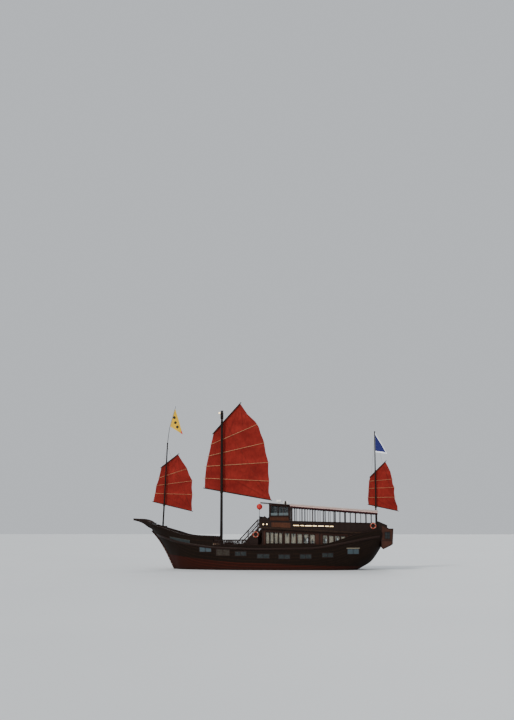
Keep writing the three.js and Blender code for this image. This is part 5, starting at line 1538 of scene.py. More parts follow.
@dataclass(frozen=True)
class Wheelhouse:
    """The wheelhouse: cased and glazed lights, boarded sides, a roof with a rounded edge, and its helm.

    The side lights are pairs of x from the fore wall, and the fore lights pairs of y.
    """

    fore: float = 1.0
    aft: float = 3.2
    half: float = 2.3
    sill: float = 5.64
    side_lights: Line = ((0.17, 0.9), (1.0, 2.03))
    fore_lights: Line = ((-2.11, -1.33), (-1.25, -0.47), (-0.39, 0.39), (0.47, 1.25), (1.33, 2.11))
    fore_panels: Line = ((-2.05, -0.75), (-0.65, 0.65), (0.75, 2.05))

    def head(self, x: float) -> float:
        """The head of a light at x."""
        return roof_top(x) - 0.0903 - 0.19

    def lights(self) -> list[Window]:
        """The lights of one side."""
        ends = [(self.fore + a, self.fore + b) for a, b in self.side_lights]
        return [Window(a, b, self.sill, self.head(a), self.head(b)) for a, b in ends]

    def side(self, side: Side) -> tuple[list[Surface], ...]:
        """The trim, glass, glazing bars, planks and frosted low panes of one side."""
        y, sign = side.value * self.half, side.value
        lights = self.lights()
        trim = [part for w in lights for part in w.casing(y, side, 0.045)]
        glass = [w.pane(y - sign * 0.034) for w in lights]
        bars = lights[1].bars(y - sign * 0.02, up=(0.5,))
        for x in (1.03, 3.17):
            trim.append(post(x, y + sign * 0.012, upper_top(x) + 0.005, roof_top(x) - 0.1, 0.09, 0.035, side.out))
        for z, tall in ((5.5, 0.05), (4.42, 0.08)):
            ends = (self.fore, y + sign * 0.012, z), (self.aft, y + sign * 0.012, z - 0.02)
            trim.append(beam(*ends, tall, 0.035, side.out))
        planks = [
            block((x, y - sign * 0.0005, upper_top(x) + 0.16), (x + 0.155, y + sign * 0.012, 5.465))
            for x in np.arange(1.085, 3.05, 0.165)
        ]
        frosted = [
            block((w.x0, y - sign * 0.027, self.sill), (w.x1, y - sign * 0.031, self.sill + 0.27), 0.001)
            for w in lights
        ]
        return trim, glass, bars, planks, frosted

    def make(self) -> None:
        """Builds trim, glass, roof edge and helm."""
        trim, glass, bars, planks, frosted = (a + b for a, b in zip(*(self.side(s) for s in Side)))
        build("wheelhouse_trim", trim, TRIM)
        build("wheelhouse_bars", bars, JOINERY)
        build("wheelhouse_planks", planks, PANEL)
        build("wheelhouse_low_panes", frosted, MILKY)
        self.front(glass)
        self.roof()
        self.helm()
        panels = door_panels(self.aft + 0.001, self.aft + 0.017, ((4.4, 4.98), (5.08, 5.95)))
        build("wheelhouse_door_panels", panels, JOINERY, body=Body.WHEELHOUSE_DOOR)
        handle = knob((self.aft + 0.009, 0.31, 5.2), AFT)
        build("wheelhouse_door_knob", handle, BRASS, body=Body.WHEELHOUSE_DOOR)

    def front(self, glass: list[Surface]) -> None:
        """The fore wall's casings and panes."""
        trim, x, head = [], self.fore - 0.011, self.head(self.fore)
        for y0, y1 in self.fore_lights:
            for y in (y0 - 0.02, y1 + 0.02):
                trim.append(post(x, y, self.sill - 0.03, head + 0.03, 0.045, 0.022, AFT))
            trim.append(athwart(x, y0 - 0.04, y1 + 0.04, head + 0.02, 0.045, 0.024, AFT))
            trim.append(athwart(x - 0.018, y0 - 0.06, y1 + 0.06, self.sill - 0.025, 0.045, 0.06, AFT))
            glass.append(pane(y0, y1, self.sill, (head, head), self.fore + 0.03, AFT))
        for y0, y1 in self.fore_panels:
            trim.append(block((self.fore - 0.016, y0, 4.55), (self.fore + 0.002, y1, 5.44), 0.014))
        build("wheelhouse_front_trim", trim, TRIM_Y)
        build("wheelhouse_glass", glass, TINTED)

    def roof(self) -> None:
        """The roof's boarded top, rounded nosing and rain strips."""
        (x0, y0), (x1, y1) = (0.15, -2.52), (3.24, 2.52)
        corners = [(x0, y0), (x1, y0), (x1, y1), (x0, y1), (x0, y0)]
        sides = [np.linspace(a, b, 30, endpoint=False) for a, b in zip(corners, corners[1:])]
        edge = np.concatenate([*sides, corners[:1]])
        path = meet(edge[:, 0], edge[:, 1], roof_top(edge[:, 0]) - 0.045)
        build("wheelhouse_roof_nosing", tube(path, 0.048, 10), TRIM)
        ys = np.arange(-2.1, 2.2, 0.6)
        strips = (level(0.14, 3.2, y, lambda x: roof_top(x) + 0.008, 0.03, 0.016) for y in ys)
        build("wheelhouse_roof_strips", strips, TRIM)
        board = athwart(0.085, -2.5, 2.5, roof_top(0.1) - 0.035, 0.13, 0.04, AFT)
        build("wheelhouse_roof_board", board, BAND)

    def helm(self) -> None:
        """A spoked wheel with turned handles on its pedestal, and a console with dials."""
        x, floor = 1.62, upper_top(1.62) + SEATED
        centre = np.array([x + 0.12, 0, floor + 0.88 - UPPER_SLOPE * 0.12])
        spoke = [(0.014, 0.04), (0.018, 0.12), (0.012, 0.26), (0.016, 0.34)]
        spoke += [(0.013, 0.38), (0.019, 0.43), (0.015, 0.48), (0.004, 0.49)]
        hub = [(0.02, -0.08), (0.07, -0.07), (0.08, 0.0), (0.06, 0.04), (0.03, 0.06), (0.004, 0.065)]
        parts = [hoop(centre, AFT, 0.35, 0.05, 10, 48), hoop(centre, AFT, 0.27, 0.022, 8, 40)]
        parts += [turned(spoke, centre, (0, math.cos(t), math.sin(t)), 10) for t in around(8)]
        parts.append(turned(hub, centre, AFT, 24))
        parts.append(block((x - 0.07, -0.09, floor), (x + 0.06, 0.09, floor + 0.9), 0.012))
        parts.append(block((x - 0.38, -0.7, floor + 0.02), (x - 0.06, 0.7, floor + 0.95), 0.015))
        build("helm_wheel", parts, JOINERY, ("helm",))
        dial = [(0.055, 0), (0.06, 0.012), (0.05, 0.018), (0.004, 0.016)]
        feet = [(x - 0.28 + 0.09 * (k % 2), -0.5 + 0.25 * k, floor + 0.95) for k in range(5)]
        build("helm_dials", (turned(dial, foot, (0.1, 0, 1), 20) for foot in feet), BRASS)


@dataclass(frozen=True)
class RoofGear:
    """A radar drum and a raft canister on the wheelhouse roof, a mast light, and the lantern at the platform."""

    drum: Line = (
        *((0.05, 0.0), (0.11, 0.0), (0.11, 0.012), (0.06, 0.02), (0.06, 0.19), (0.29, 0.2), (0.315, 0.24)),
        *((0.31, 0.36), (0.28, 0.41), (0.2, 0.43), (0.01, 0.435)),
    )
    canister: Line = ((0.01, -0.26), (0.12, -0.255), (0.155, -0.22), (0.165, -0.15), (0.165, -0.012), (0.172, -0.01))
    lens: Line = ((0.01, 0.0), (0.085, 0.005), (0.09, 0.03), (0.08, 0.13), (0.05, 0.16), (0.01, 0.165))

    def make(self) -> None:
        """Builds the gear."""
        drum = turned(self.drum, (1.9, -0.5, roof_top(1.9) + SEATED), sides=40)
        build("radome_drum", drum, GELCOAT, ("radome",))
        self.raft()
        self.lantern()
        self.masthead_light()

    def raft(self) -> None:
        """A raft canister on two chocks, with its straps and middle band."""
        centre = (2.65, -0.9, roof_top(2.65) + 0.2)
        chocks = (2.5, 2.8)
        ends = [*self.canister, *((r, -z) for r, z in self.canister[::-1])]
        shells = [turned(ends, centre, AFT, 32)]
        for x in chocks:
            foot, head = roof_top(x) + 0.0005, roof_top(x) + 0.085
            shells.append(block((x - 0.03, -1.02, foot), (x + 0.03, -0.78, head), 0.006))
        build("raft_canister_shell", shells, GELCOAT, ("raft_canister",))
        straps = [hoop((x, *centre[1:]), AFT, 0.168, 0.018, 6, 36) for x in chocks]
        straps.append(turned([(0.16, -0.1), (0.175, -0.1), (0.175, 0.1), (0.16, 0.1)], centre, AFT, 32))
        build("raft_straps", straps, IRON)

    def lantern(self) -> None:
        """A ribbed paper ball with brass caps on a slim post."""
        x, y, foot = -0.04, -2.09, 5.5548
        t = np.linspace(0, np.pi, 61)
        rib = 0.308 + 0.009 * np.cos(t * 26)
        ball = meet(np.maximum(rib * np.sin(t), 0.03), foot + 1.01 - rib * np.cos(t))
        build("lantern_ball", turned(ball, (x, y, 0), sides=36), PAPER, ("lantern",))
        stem = [(0.005, 0), (0.045, 0), (0.045, 0.02), (0.022, 0.04), (0.02, 0.67), (0.06, 0.69)]
        stem += [(0.075, 0.72), (0.05, 0.735)]
        cap = [(0.005, 1.285), (0.07, 1.29), (0.075, 1.31), (0.03, 1.32), (0.012, 1.335), (0.003, 1.34)]
        post = (turned([(r, foot + z) for r, z in profile], (x, y, 0)) for profile in (stem, cap))
        build("lantern_post", post, IRON)

    def masthead_light(self) -> None:
        """A small lamp on a bracket on the fore side of the main mast, just under its head."""
        x, z = -4.47, 16.72
        build("mast_light_bracket", level(x + 0.02, x - 0.22, 0, z - 0.02, 0.05, 0.03), IRON)
        build("mast_light_lens", turned(self.lens, (x - 0.16, 0, z), sides=20), WARM)


@dataclass(frozen=True)
class LifeRing:
    """A life ring hung against a wall: an oval tube, four bands, and a grab line looped between them."""

    x: float
    y: float
    z: float
    turn: float = 0.0
    radius: float = 0.265
    tube: float = 0.06

    def place(self, points: Array) -> Array:
        """Points about the origin, in the xz plane, turned about z and set at the ring's centre."""
        c, s = math.cos(self.turn), math.sin(self.turn)
        return points @ np.array([[c, s, 0], [-s, c, 0], [0, 0, 1]]) + (self.x, self.y, self.z)

    def torus(self, thick: float, start: float = 0, end: float = 2 * np.pi) -> Surface:
        """A ring or part of one, of round section."""
        a, b = np.linspace(start, end, 73)[:, None], around(20)
        r = self.radius + thick * np.cos(b)
        points = meet(r * np.cos(a), thick * np.sin(b) * 0.97, r * np.sin(a))
        return grid(self.place(points), closed=True, caps=True)

    def line(self, start: float) -> Surface:
        """A quarter of the grab line, slack between two bands."""
        a = np.linspace(start, start + np.pi / 2, 24)
        out = self.radius + self.tube + 0.006 + 0.012 * np.sin((a - start) * 2) ** 2
        return tube(self.place(meet(out * np.cos(a), 0, out * np.sin(a))), 0.006, 6)

    def make(self, label: str) -> None:
        """Builds ring, bands and line."""
        quarters = np.pi / 2 * np.arange(4)
        build(f"ring_{label}", self.torus(self.tube), RING, (f"life_ring_{label}",), clean=True)
        bands = (self.torus(self.tube + 0.0025, k + 0.62, k + 0.95) for k in quarters)
        build(f"ring_bands_{label}", bands, BAND)
        build(f"ring_line_{label}", (self.line(k + 0.785) for k in quarters), ROPE)


@dataclass(frozen=True)
class Rails:
    """The waist's turned balusters, the platform's fence, and stair nosings with slim bars under the hand rails."""

    fore: float = -4.6
    aft: float = -1.15
    pitch: float = 0.155
    count: int = 23
    top: float = 3.08
    steps: int = 10
    profile: Line = (
        *((0.05, 0), (0.05, 0.08), (0.03, 0.11), (0.046, 0.2), (0.058, 0.34), (0.036, 0.55)),
        *((0.03, 0.72), (0.044, 0.84), (0.03, 0.88), (0.05, 0.92), (0.05, 1.0)),
    )

    def baluster(self, x: float, y: float, foot: float, head: float) -> Surface:
        """A turned baluster."""
        return turned([(r, foot + t * (head - foot)) for r, t in self.profile], (x, y, 0), sides=12)

    def balustrade(self, side: Side) -> list[Surface]:
        """The balusters and hand rail of one side."""
        def middle(x: Number) -> Number:
            """The middle of the bulwark's rail at x."""
            return side.value * (LINES.half(x, 2.5) - PLANKING / 2)

        xs = self.fore + self.pitch * np.arange(self.count)
        made = [self.baluster(x, middle(x), float(LINES.rail(x)) + 0.001, self.top - 0.06) for x in xs]
        x = np.linspace(self.fore - 0.08, self.aft + 0.08, 30)
        return [*made, tube(meet(x, middle(x), self.top - 0.035), 0.055, 12, 0.62)]

    def make(self) -> None:
        """Builds the rails."""
        for side in Side:
            build(f"balusters_{side.label}", self.balustrade(side), TRIM, (f"balustrade_{side.label}",))
        self.stairs()

    def stairs(self) -> None:
        """Stair nosings, and slim bars under the hand rails."""
        foot, head, floor = -2.25, -0.1003, MAIN_DECK + SEATED
        rise = (upper_top(head) - floor) / (self.steps + 1)
        run = (head - foot) / self.steps
        nosings, bars = [], []
        for side in Side:
            y0, y1 = side.value * 2.17, side.value * 3.03
            for i in range(self.steps):
                nosings.append(athwart(foot + i * run - 0.032, y0, y1, floor + (i + 1) * rise - 0.02, 0.03, 0.045))
            for y in (side.value * 2.172, side.value * 3.028):
                for lift in (0.35, 0.62):
                    ends = [(x, y, floor + rise * ((x - foot) / run + 0.6) + lift) for x in (foot - 0.06, head - 0.06)]
                    bars.append(tube(ends, 0.014, 8))
        build("stair_nosings", nosings, BRASS)
        build("stair_bars", bars, TRIM)


@dataclass(frozen=True)
class Gallery:
    """The stern gallery's mouldings, cased lights and panes, and a rail along its top."""

    aft: float = 13.96
    half: float = 2.7
    fore: float = 12.7
    width: float = 0.64
    foot: float = 3.15
    head: float = 3.9
    lights: tuple[float, ...] = (-2.2, -1.33, -0.46, 0.41, 1.28)

    def lean(self, z: Number) -> Number:
        """The x of the aft wall at a height."""
        return self.aft + (z - 4.25) * 0.11 / 1.61

    def side(self, side: Side) -> tuple[list[Surface], Surface]:
        """The trim of one side, and its light's pane."""
        y, out = side.value * self.half, side.value * (self.half + 0.014)
        light = Window(self.fore + 0.42, self.fore + 0.9, 3.25, self.head, self.head)
        trim = light.casing(y, side, 0.06, 0.03) + light.bars(y - side.value * 0.02, (0.5,), (0.5,))
        for x0, z0, x1, z1, tall, deep in (
            (self.fore + 0.02, 4.7, self.aft - 0.48, 4.27, 0.09, 0.04),
            (self.aft - 0.5, 4.24, self.aft + 0.01, 4.24, 0.09, 0.04),
            (self.fore + 0.03, 3.05, self.aft - 0.08, 3.05, 0.06, 0.035),
            (self.fore + 0.2, 2.19, self.aft - 0.12, 2.66, 0.09, 0.04),
            (self.aft - 0.1, 2.66, self.aft - 0.01, 4.2, 0.08, 0.04),
            (self.fore + 0.05, 2.42, self.fore + 0.05, 4.66, 0.07, 0.04),
        ):
            trim.append(beam((x0, out, z0), (x1, out, z1), tall, deep, side.out))
        return trim + self.quarter_board(side), light.pane(y - side.value * 0.04)

    def light(self, y: float) -> list[Surface]:
        """The casing and bar of a light of the aft wall whose port edge is at y."""
        low, high, out = self.foot - 0.03, self.head + 0.03, 0.014
        made = [athwart(self.lean(z) + out, y - 0.04, y + 0.68, z, 0.05, 0.03, AFT) for z in (low, high)]
        for edge, z0, z1, off, size in (
            (y - 0.02, low, high, out, (0.05, 0.03)),
            (y + 0.66, low, high, out, (0.05, 0.03)),
            (y + self.width / 2, self.foot, self.head, -0.03, (0.022, 0.022)),
        ):
            made.append(beam((self.lean(z0) + off, edge, z0), (self.lean(z1) + off, edge, z1), *size, AFT))
        return made

    def make(self) -> None:
        """Builds the gallery's trim and glass."""
        (port, a), (starboard, b) = (self.side(s) for s in Side)
        trim, panes = port + starboard, [a, b]
        place = np.array([[self.lean(self.foot)], [self.lean(self.head)]]) - 0.05
        for y in self.lights:
            trim += self.light(y)
            panes.append(pane(y, y + self.width, self.foot, (self.head, self.head), place, AFT))
        trim += [athwart(self.lean(z) + 0.014, -2.74, 2.74, z, 0.1, 0.045, AFT) for z in (2.72, 4.22)]
        build("gallery_trim", trim, TRIM)
        build("gallery_glass", panes, DIM)

    def quarter_board(self, side: Side) -> list[Surface]:
        """A board from the upper deck's end down to the gallery's top: its head is a straight slope with a cap.

        Its foot follows the hull's rail, then the gallery's sloping top.
        """
        x = np.linspace(12.37, 13.36, 24)
        head = 5.03 - 0.43 * (x - x[0])
        foot = np.where(x < self.fore, LINES.rail(x) - 0.03, 4.69 - 0.55 * (x - self.fore))
        z = np.linspace(np.minimum(foot, head - 0.05), head, 6, axis=1)
        points = meet(x[:, None], side.value * 2.66, z)
        board = shell(points, (0, side.value * 0.03, 0), points[..., [0, 2]])
        y = side.value * 2.675
        return [board, beam((x[0], y, head[0]), (x[-1], y, head[-1]), 0.08, 0.05)]


@dataclass(frozen=True)
class BowWings:
    """The two horn-like wings of the bow: a tapering plank swept forward and up, with a cap along its top.

    Each row is x, the foot's and head's z, and the foot's and head's y.
    """

    lines: tuple[tuple[float, float, float, float, float], ...] = (
        (-11.8503, 4.23, 4.8, 0.64, 1.535),
        (-12.2, 4.47, 5.03, 1.18, 1.6),
        (-12.6, 4.8, 5.18, 1.49, 1.65),
        (-13.1, 5.01, 5.26, 1.62, 1.7),
        (-13.65, 5.15, 5.29, 1.69, 1.74),
    )
    thick: float = 0.095

    def make(self) -> None:
        """Builds both wings and their caps."""
        rows = curve(self.lines, 60)
        rows[0] = self.lines[0]
        x, low, high, y_low, y_high = rows.T[..., None]
        s = np.linspace(0, 1, 12)
        out_y = y_low + (y_high - y_low) * s + 0.03 * np.sin(np.pi * s)
        out_z = low + (high - low) * s
        ring_y = np.concatenate([out_y, out_y[:, ::-1] - self.thick], 1)
        ring_z = np.concatenate([out_z, out_z[:, ::-1]], 1)
        caps = []
        for side in Side:
            points = meet(x, side.value * ring_y, ring_z)
            piece = grid(points, points[..., [0, 2]], closed=True, caps=True)
            build(f"wing_{side.label}", piece, TRIM, (f"bow_wing_{side.label}",), crease=50)
            path = np.hstack([x, side.value * (y_high - self.thick / 2), high + 0.006])
            caps.append(tube(path, np.linspace(0.075, 0.06, len(x)), 10, 0.5))
        build("wing_caps", caps, TRIM)


@dataclass(frozen=True)
class Windlass:
    """The windlass's barrel with whelps and iron rings, and turns of rope."""

    x: float = -9.3
    z: float = 3.664
    warp: Line = ((0.045, -0.82), (0.12, -0.82), (0.125, -0.8), (0.105, -0.72), (0.125, -0.66), (0.12, -0.641))

    def make(self) -> None:
        """Builds the barrel and rope."""
        end = [*self.warp, (0.045, -0.64)]
        middle = [(0.045, -0.5397), (0.12, -0.5397), (0.12, 0.5397), (0.045, 0.5397)]
        other = [(r, -y) for r, y in end[::-1]]
        axle = [(0.004, -0.822), (0.044, -0.821), (0.044, 0.821), (0.004, 0.822)]
        centre = np.array([self.x, 0, self.z])
        parts = [turned(profile, centre, STARBOARD, 28) for profile in (end, middle, other, axle)]
        for t in around(8):
            out = np.array([math.cos(t), 0, math.sin(t)])
            a = centre + (0, -0.5, 0) + 0.122 * out
            parts.append(beam(a, a + (0, 0.42, 0), 0.04, 0.022, out))
        build("windlass_drum", parts, TRIM, ("windlass_barrel",), Body.WINDLASS)
        t = np.linspace(0, 2 * np.pi * 9, 260)
        lay = meet(0.137 * np.cos(t), 0.06 + 0.0285 * t / (2 * np.pi), 0.137 * np.sin(t)) + centre
        build("windlass_rope", tube(lay, 0.014, 8), ROPE, body=Body.WINDLASS)
        rings = (hoop((self.x, y, self.z), STARBOARD, 0.118, 0.022, 6, 28) for y in (-0.53, 0.53))
        build("windlass_rings", rings, IRON, body=Body.WINDLASS)


@dataclass(frozen=True)
class SternGear:
    """The bronze propeller with four twisted blades, and straps on the rudder."""

    x: float = 8.42
    z: float = -1.38
    radius: float = 0.46
    hub: Line = (
        *((0.03, -0.36), (0.044, -0.36), (0.044, 0.0), (0.105, 0.0003), (0.105, 0.04)),
        *((0.1, 0.2), (0.07, 0.3), (0.03, 0.345), (0.003, 0.35)),
    )

    def blade(self, turn: float) -> Surface:
        """A blade: its chord turns from steep at the root to flat at the tip, and its outline is an ellipse."""
        s, c = np.linspace(0.12, 0.998, 18)[:, None], np.linspace(-1, 1, 15)
        chord = 0.2 * np.sqrt(np.clip(1 - ((s - 0.62) / 0.42) ** 2, 0.03, 1)) * c
        pitch = np.radians(72 - 42 * s)
        co, si = np.cos(pitch), np.sin(pitch)
        thick = (0.014 * (1 - s) + 0.004) * (1 - c**2) + 0.001
        face, back = (meet(chord * co + t * si, chord * si - t * co, s * self.radius) for t in (thick, -thick))
        ring = np.concatenate([face, back[:, ::-1]], 1)
        co, si = math.cos(turn), math.sin(turn)
        ring = ring @ np.array([[1, 0, 0], [0, co, si], [0, -si, co]])
        return grid(ring + (self.x + 0.165, 0, self.z), closed=True, caps=True)

    def make(self) -> None:
        """Builds the propeller and rudder straps."""
        blades = [self.blade(turn) for turn in around(4)]
        hub = turned(self.hub, (self.x, 0, self.z), AFT, 28)
        build("propeller_blades", [hub, *blades], BRONZE, ("propeller",), Body.PROPELLER)
        places = [(y, z) for z in (-1.5, -1.0, -0.5) for y in (-0.052, 0.052)]
        straps = (beam((9.3, y, z), (10.6, y, z + 0.02), 0.012, 0.09) for y, z in places)
        build("rudder_straps", straps, IRON, body=Body.RUDDER)


@dataclass(frozen=True)
class DeckGear:
    """Fittings on deck and stem: bitts, hatch, the fore mast's tabernacle and the stem's marks."""

    bitts: tuple[tuple[float, float], ...] = ((-7.6, 1.9), (-10.2, 0.9))

    @staticmethod
    def bitt(x: float, y: float, z: float) -> list[Surface]:
        """Two posts and a cross bar."""
        bar = turned([(0.02, -0.36), (0.035, -0.36), (0.035, 0.36), (0.02, 0.36)], (x, y, z + 0.38), STARBOARD, 14)
        posts = [(x + a, y + b, z + c) for b in (-0.2, 0.2) for a, c in ((-0.06, -0.02), (0.06, 0.55))]
        pairs = [((a[0], a[1] - 0.06, a[2]), (b[0], b[1] + 0.06, b[2])) for a, b in zip(posts[::2], posts[1::2])]
        return [*(block(a, b, 0.015) for a, b in pairs), bar]

    def make(self) -> None:
        """Builds the deck gear."""
        places = [(x, side.value * y) for side in Side for x, y in self.bitts]
        build("bitts", (part for x, y in places for part in self.bitt(x, y, float(LINES.deck(x)))), TRIM)
        z = float(LINES.deck(-6.2))
        hatch = [block((-6.75, -0.55, z - 0.05), (-5.65, 0.55, z + 0.24), 0.02)]
        hatch += [level(-6.78, -5.62, y, z + 0.255, 0.115, 0.03) for y in np.arange(-0.5, 0.55, 0.125)]
        build("fore_hatch", hatch, SLATS)
        self.tabernacle()
        marks = []
        for side in Side:
            for z in np.arange(0.5, 2.2, 0.33):
                x, y = float(np.interp(z, *self.stem_line())), side.value * 0.109
                marks.append(block((x + 0.015, y - 0.004, z), (x + 0.105, y + 0.004, z + 0.05), 0.002))
        build("stem_marks", marks, BAND)

    def tabernacle(self) -> None:
        """Two shaped cheeks beside the fore mast's foot, with their bolt and a chock aft of the mast."""
        z, parts = float(LINES.deck(-10.6)), []
        for side in Side:
            for x0, x1, tall in ((-11.02, -10.3, 0.92), (-11.1, -10.12, 0.36)):
                parts.append(block((x0, side.value * 0.15, z - 0.03), (x1, side.value * 0.25, z + tall), 0.03))
        parts.append(block((-10.46, -0.15, z - 0.03), (-10.32, 0.15, z + 0.5), 0.02))
        build("fore_mast_cheeks", parts, TRIM)
        half = [(0.01, -0.31), (0.05, -0.3), (0.05, -0.26), (0.03, -0.25)]
        bolt = [*half, *((r, -y) for r, y in half[::-1])]
        build("fore_mast_bolt", turned(bolt, (-10.42, 0, z + 0.72), STARBOARD, 16), IRON)

    @staticmethod
    def stem_line() -> tuple[Array, Array]:
        """The stem's fore edge as heights and x."""
        x = np.linspace(HULL_FORE, -8.6, 60)
        z = LINES.keel_line(x) - 0.03
        order = np.argsort(z)
        return z[order], x[order] - 0.155


# Camera, light and floor


@dataclass(frozen=True)
class Studio:
    """The camera at the photograph's place, soft lights, and a plain pale floor at the waterline."""

    distance: float = 119.0
    height: float = 4.4
    swing: float = 5.0
    pitch: float = 8.7
    focal: float = 54.69
    aim: float = 0.237
    reach: float = 600.0

    @staticmethod
    def put(name: str, data: bpy.types.ID, place: Vec = (0, 0, 0), turn: Vec = (0, 0, 0)) -> bpy.types.Object:
        """Puts a thing into the scene."""
        thing = bpy.data.objects.new(name, data)
        thing.location, thing.rotation_euler = place, turn
        bpy.context.scene.collection.objects.link(thing)
        return thing

    def camera(self) -> None:
        """Places the camera to port, looking level with the rail and pitched up towards the rig."""
        data = bpy.data.cameras.new("camera")
        data.lens, data.sensor_width, data.sensor_fit = self.focal, 36.0, "AUTO"
        data.clip_end = 2000.0
        swing = math.radians(self.swing)
        place = (self.distance * math.sin(swing), -self.distance * math.cos(swing), self.height)
        turn = (math.radians(90 + self.pitch), 0, swing + math.radians(self.aim))
        bpy.context.scene.camera = self.put("camera", data, place, turn)

    def sun(self, name: str, place: Vec, spread: float, power: float, colour: Vec) -> None:
        """A wide soft sun shining from a place towards the boat."""
        data = bpy.data.lights.new(name, "SUN")
        data.angle, data.energy, data.color = math.radians(spread), power, colour
        aim = Vector((0, 0, 6)) - Vector(place)
        self.put(name, data, place, aim.to_track_quat("-Z", "Y").to_euler())

    def world(self) -> None:
        """A plain pale sky."""
        world = bpy.data.worlds.new("studio")
        world.use_nodes = True
        shade = world.node_tree.nodes["Background"]
        shade.inputs["Color"].default_value = (0.86, 0.9, 0.95, 1)
        shade.inputs["Strength"].default_value = 0.7
        bpy.context.scene.world = world

    def floor(self) -> None:
        """A wide pale floor, faintly uneven in tone."""
        weave = Weave("studio_floor")
        tone = weave.mix(weave.noise(weave.place(), 0.05), linear("#cfd3d6"), linear("#d9dcde"))
        mesh = bpy.data.meshes.new("studio_floor")
        r = self.reach
        mesh.from_pydata([(-r, -r, 0), (r, -r, 0), (r, r, 0), (-r, r, 0)], [], [(0, 1, 2, 3)])
        mesh.materials.append(weave.finish(tone, 0.6, None, 0.0))
        self.put("studio_floor", mesh)

    def make(self) -> None:
        """Sets the whole stage."""
        self.camera()
        self.world()
        self.floor()
        self.sun("key", (-40, -70, 60), 15, 2.4, (1.0, 0.96, 0.9))
        self.sun("fill", (60, -60, 25), 40, 0.6, (0.92, 0.96, 1.0))
        self.sun("back", (10, 60, 45), 30, 0.5, (1.0, 1.0, 1.0))


# Masts, sails and flags


@dataclass(frozen=True)
class Mast:
    """A raking pole: its axis moves in x by rake for each metre of height above the foot; its radius tapers."""

    x: float
    foot: float
    head: float
    r0: float
    r1: float
    rake: float = 0.0

    def at(self, z: Number) -> Number:
        """The axis's x at a height."""
        return self.x + self.rake * (z - self.foot)

    def radius(self, z: Number) -> Number:
        """The radius at a height."""
        return self.r0 + (self.r1 - self.r0) * (z - self.foot) / (self.head - self.foot)

    def pole(self) -> Surface:
        """The pole from its foot to its head, very slightly uneven."""
        z = np.linspace(self.foot, self.head, 60)
        return tube(meet(self.at(z), 0, z), self.radius(z) * (1 + 0.012 * np.sin(z * 2.1)), 28)

    def band(self, z: float, height: float = 0.07, out: float = 0.008) -> Surface:
        """An iron band round the pole: four rings, the inner ones standing out of it."""
        levels = z + np.array([-0.5, -0.5, 0.5, 0.5]) * height
        grown = self.radius(levels) + (-0.01, out, out, -0.01)
        levels, t = (levels + (0, 1e-3, 2e-3, 3e-3))[:, None], around(28)
        r = grown[:, None]
        return grid(meet(self.at(levels) + r * np.cos(t), r * np.sin(t), levels), closed=True, caps=True)


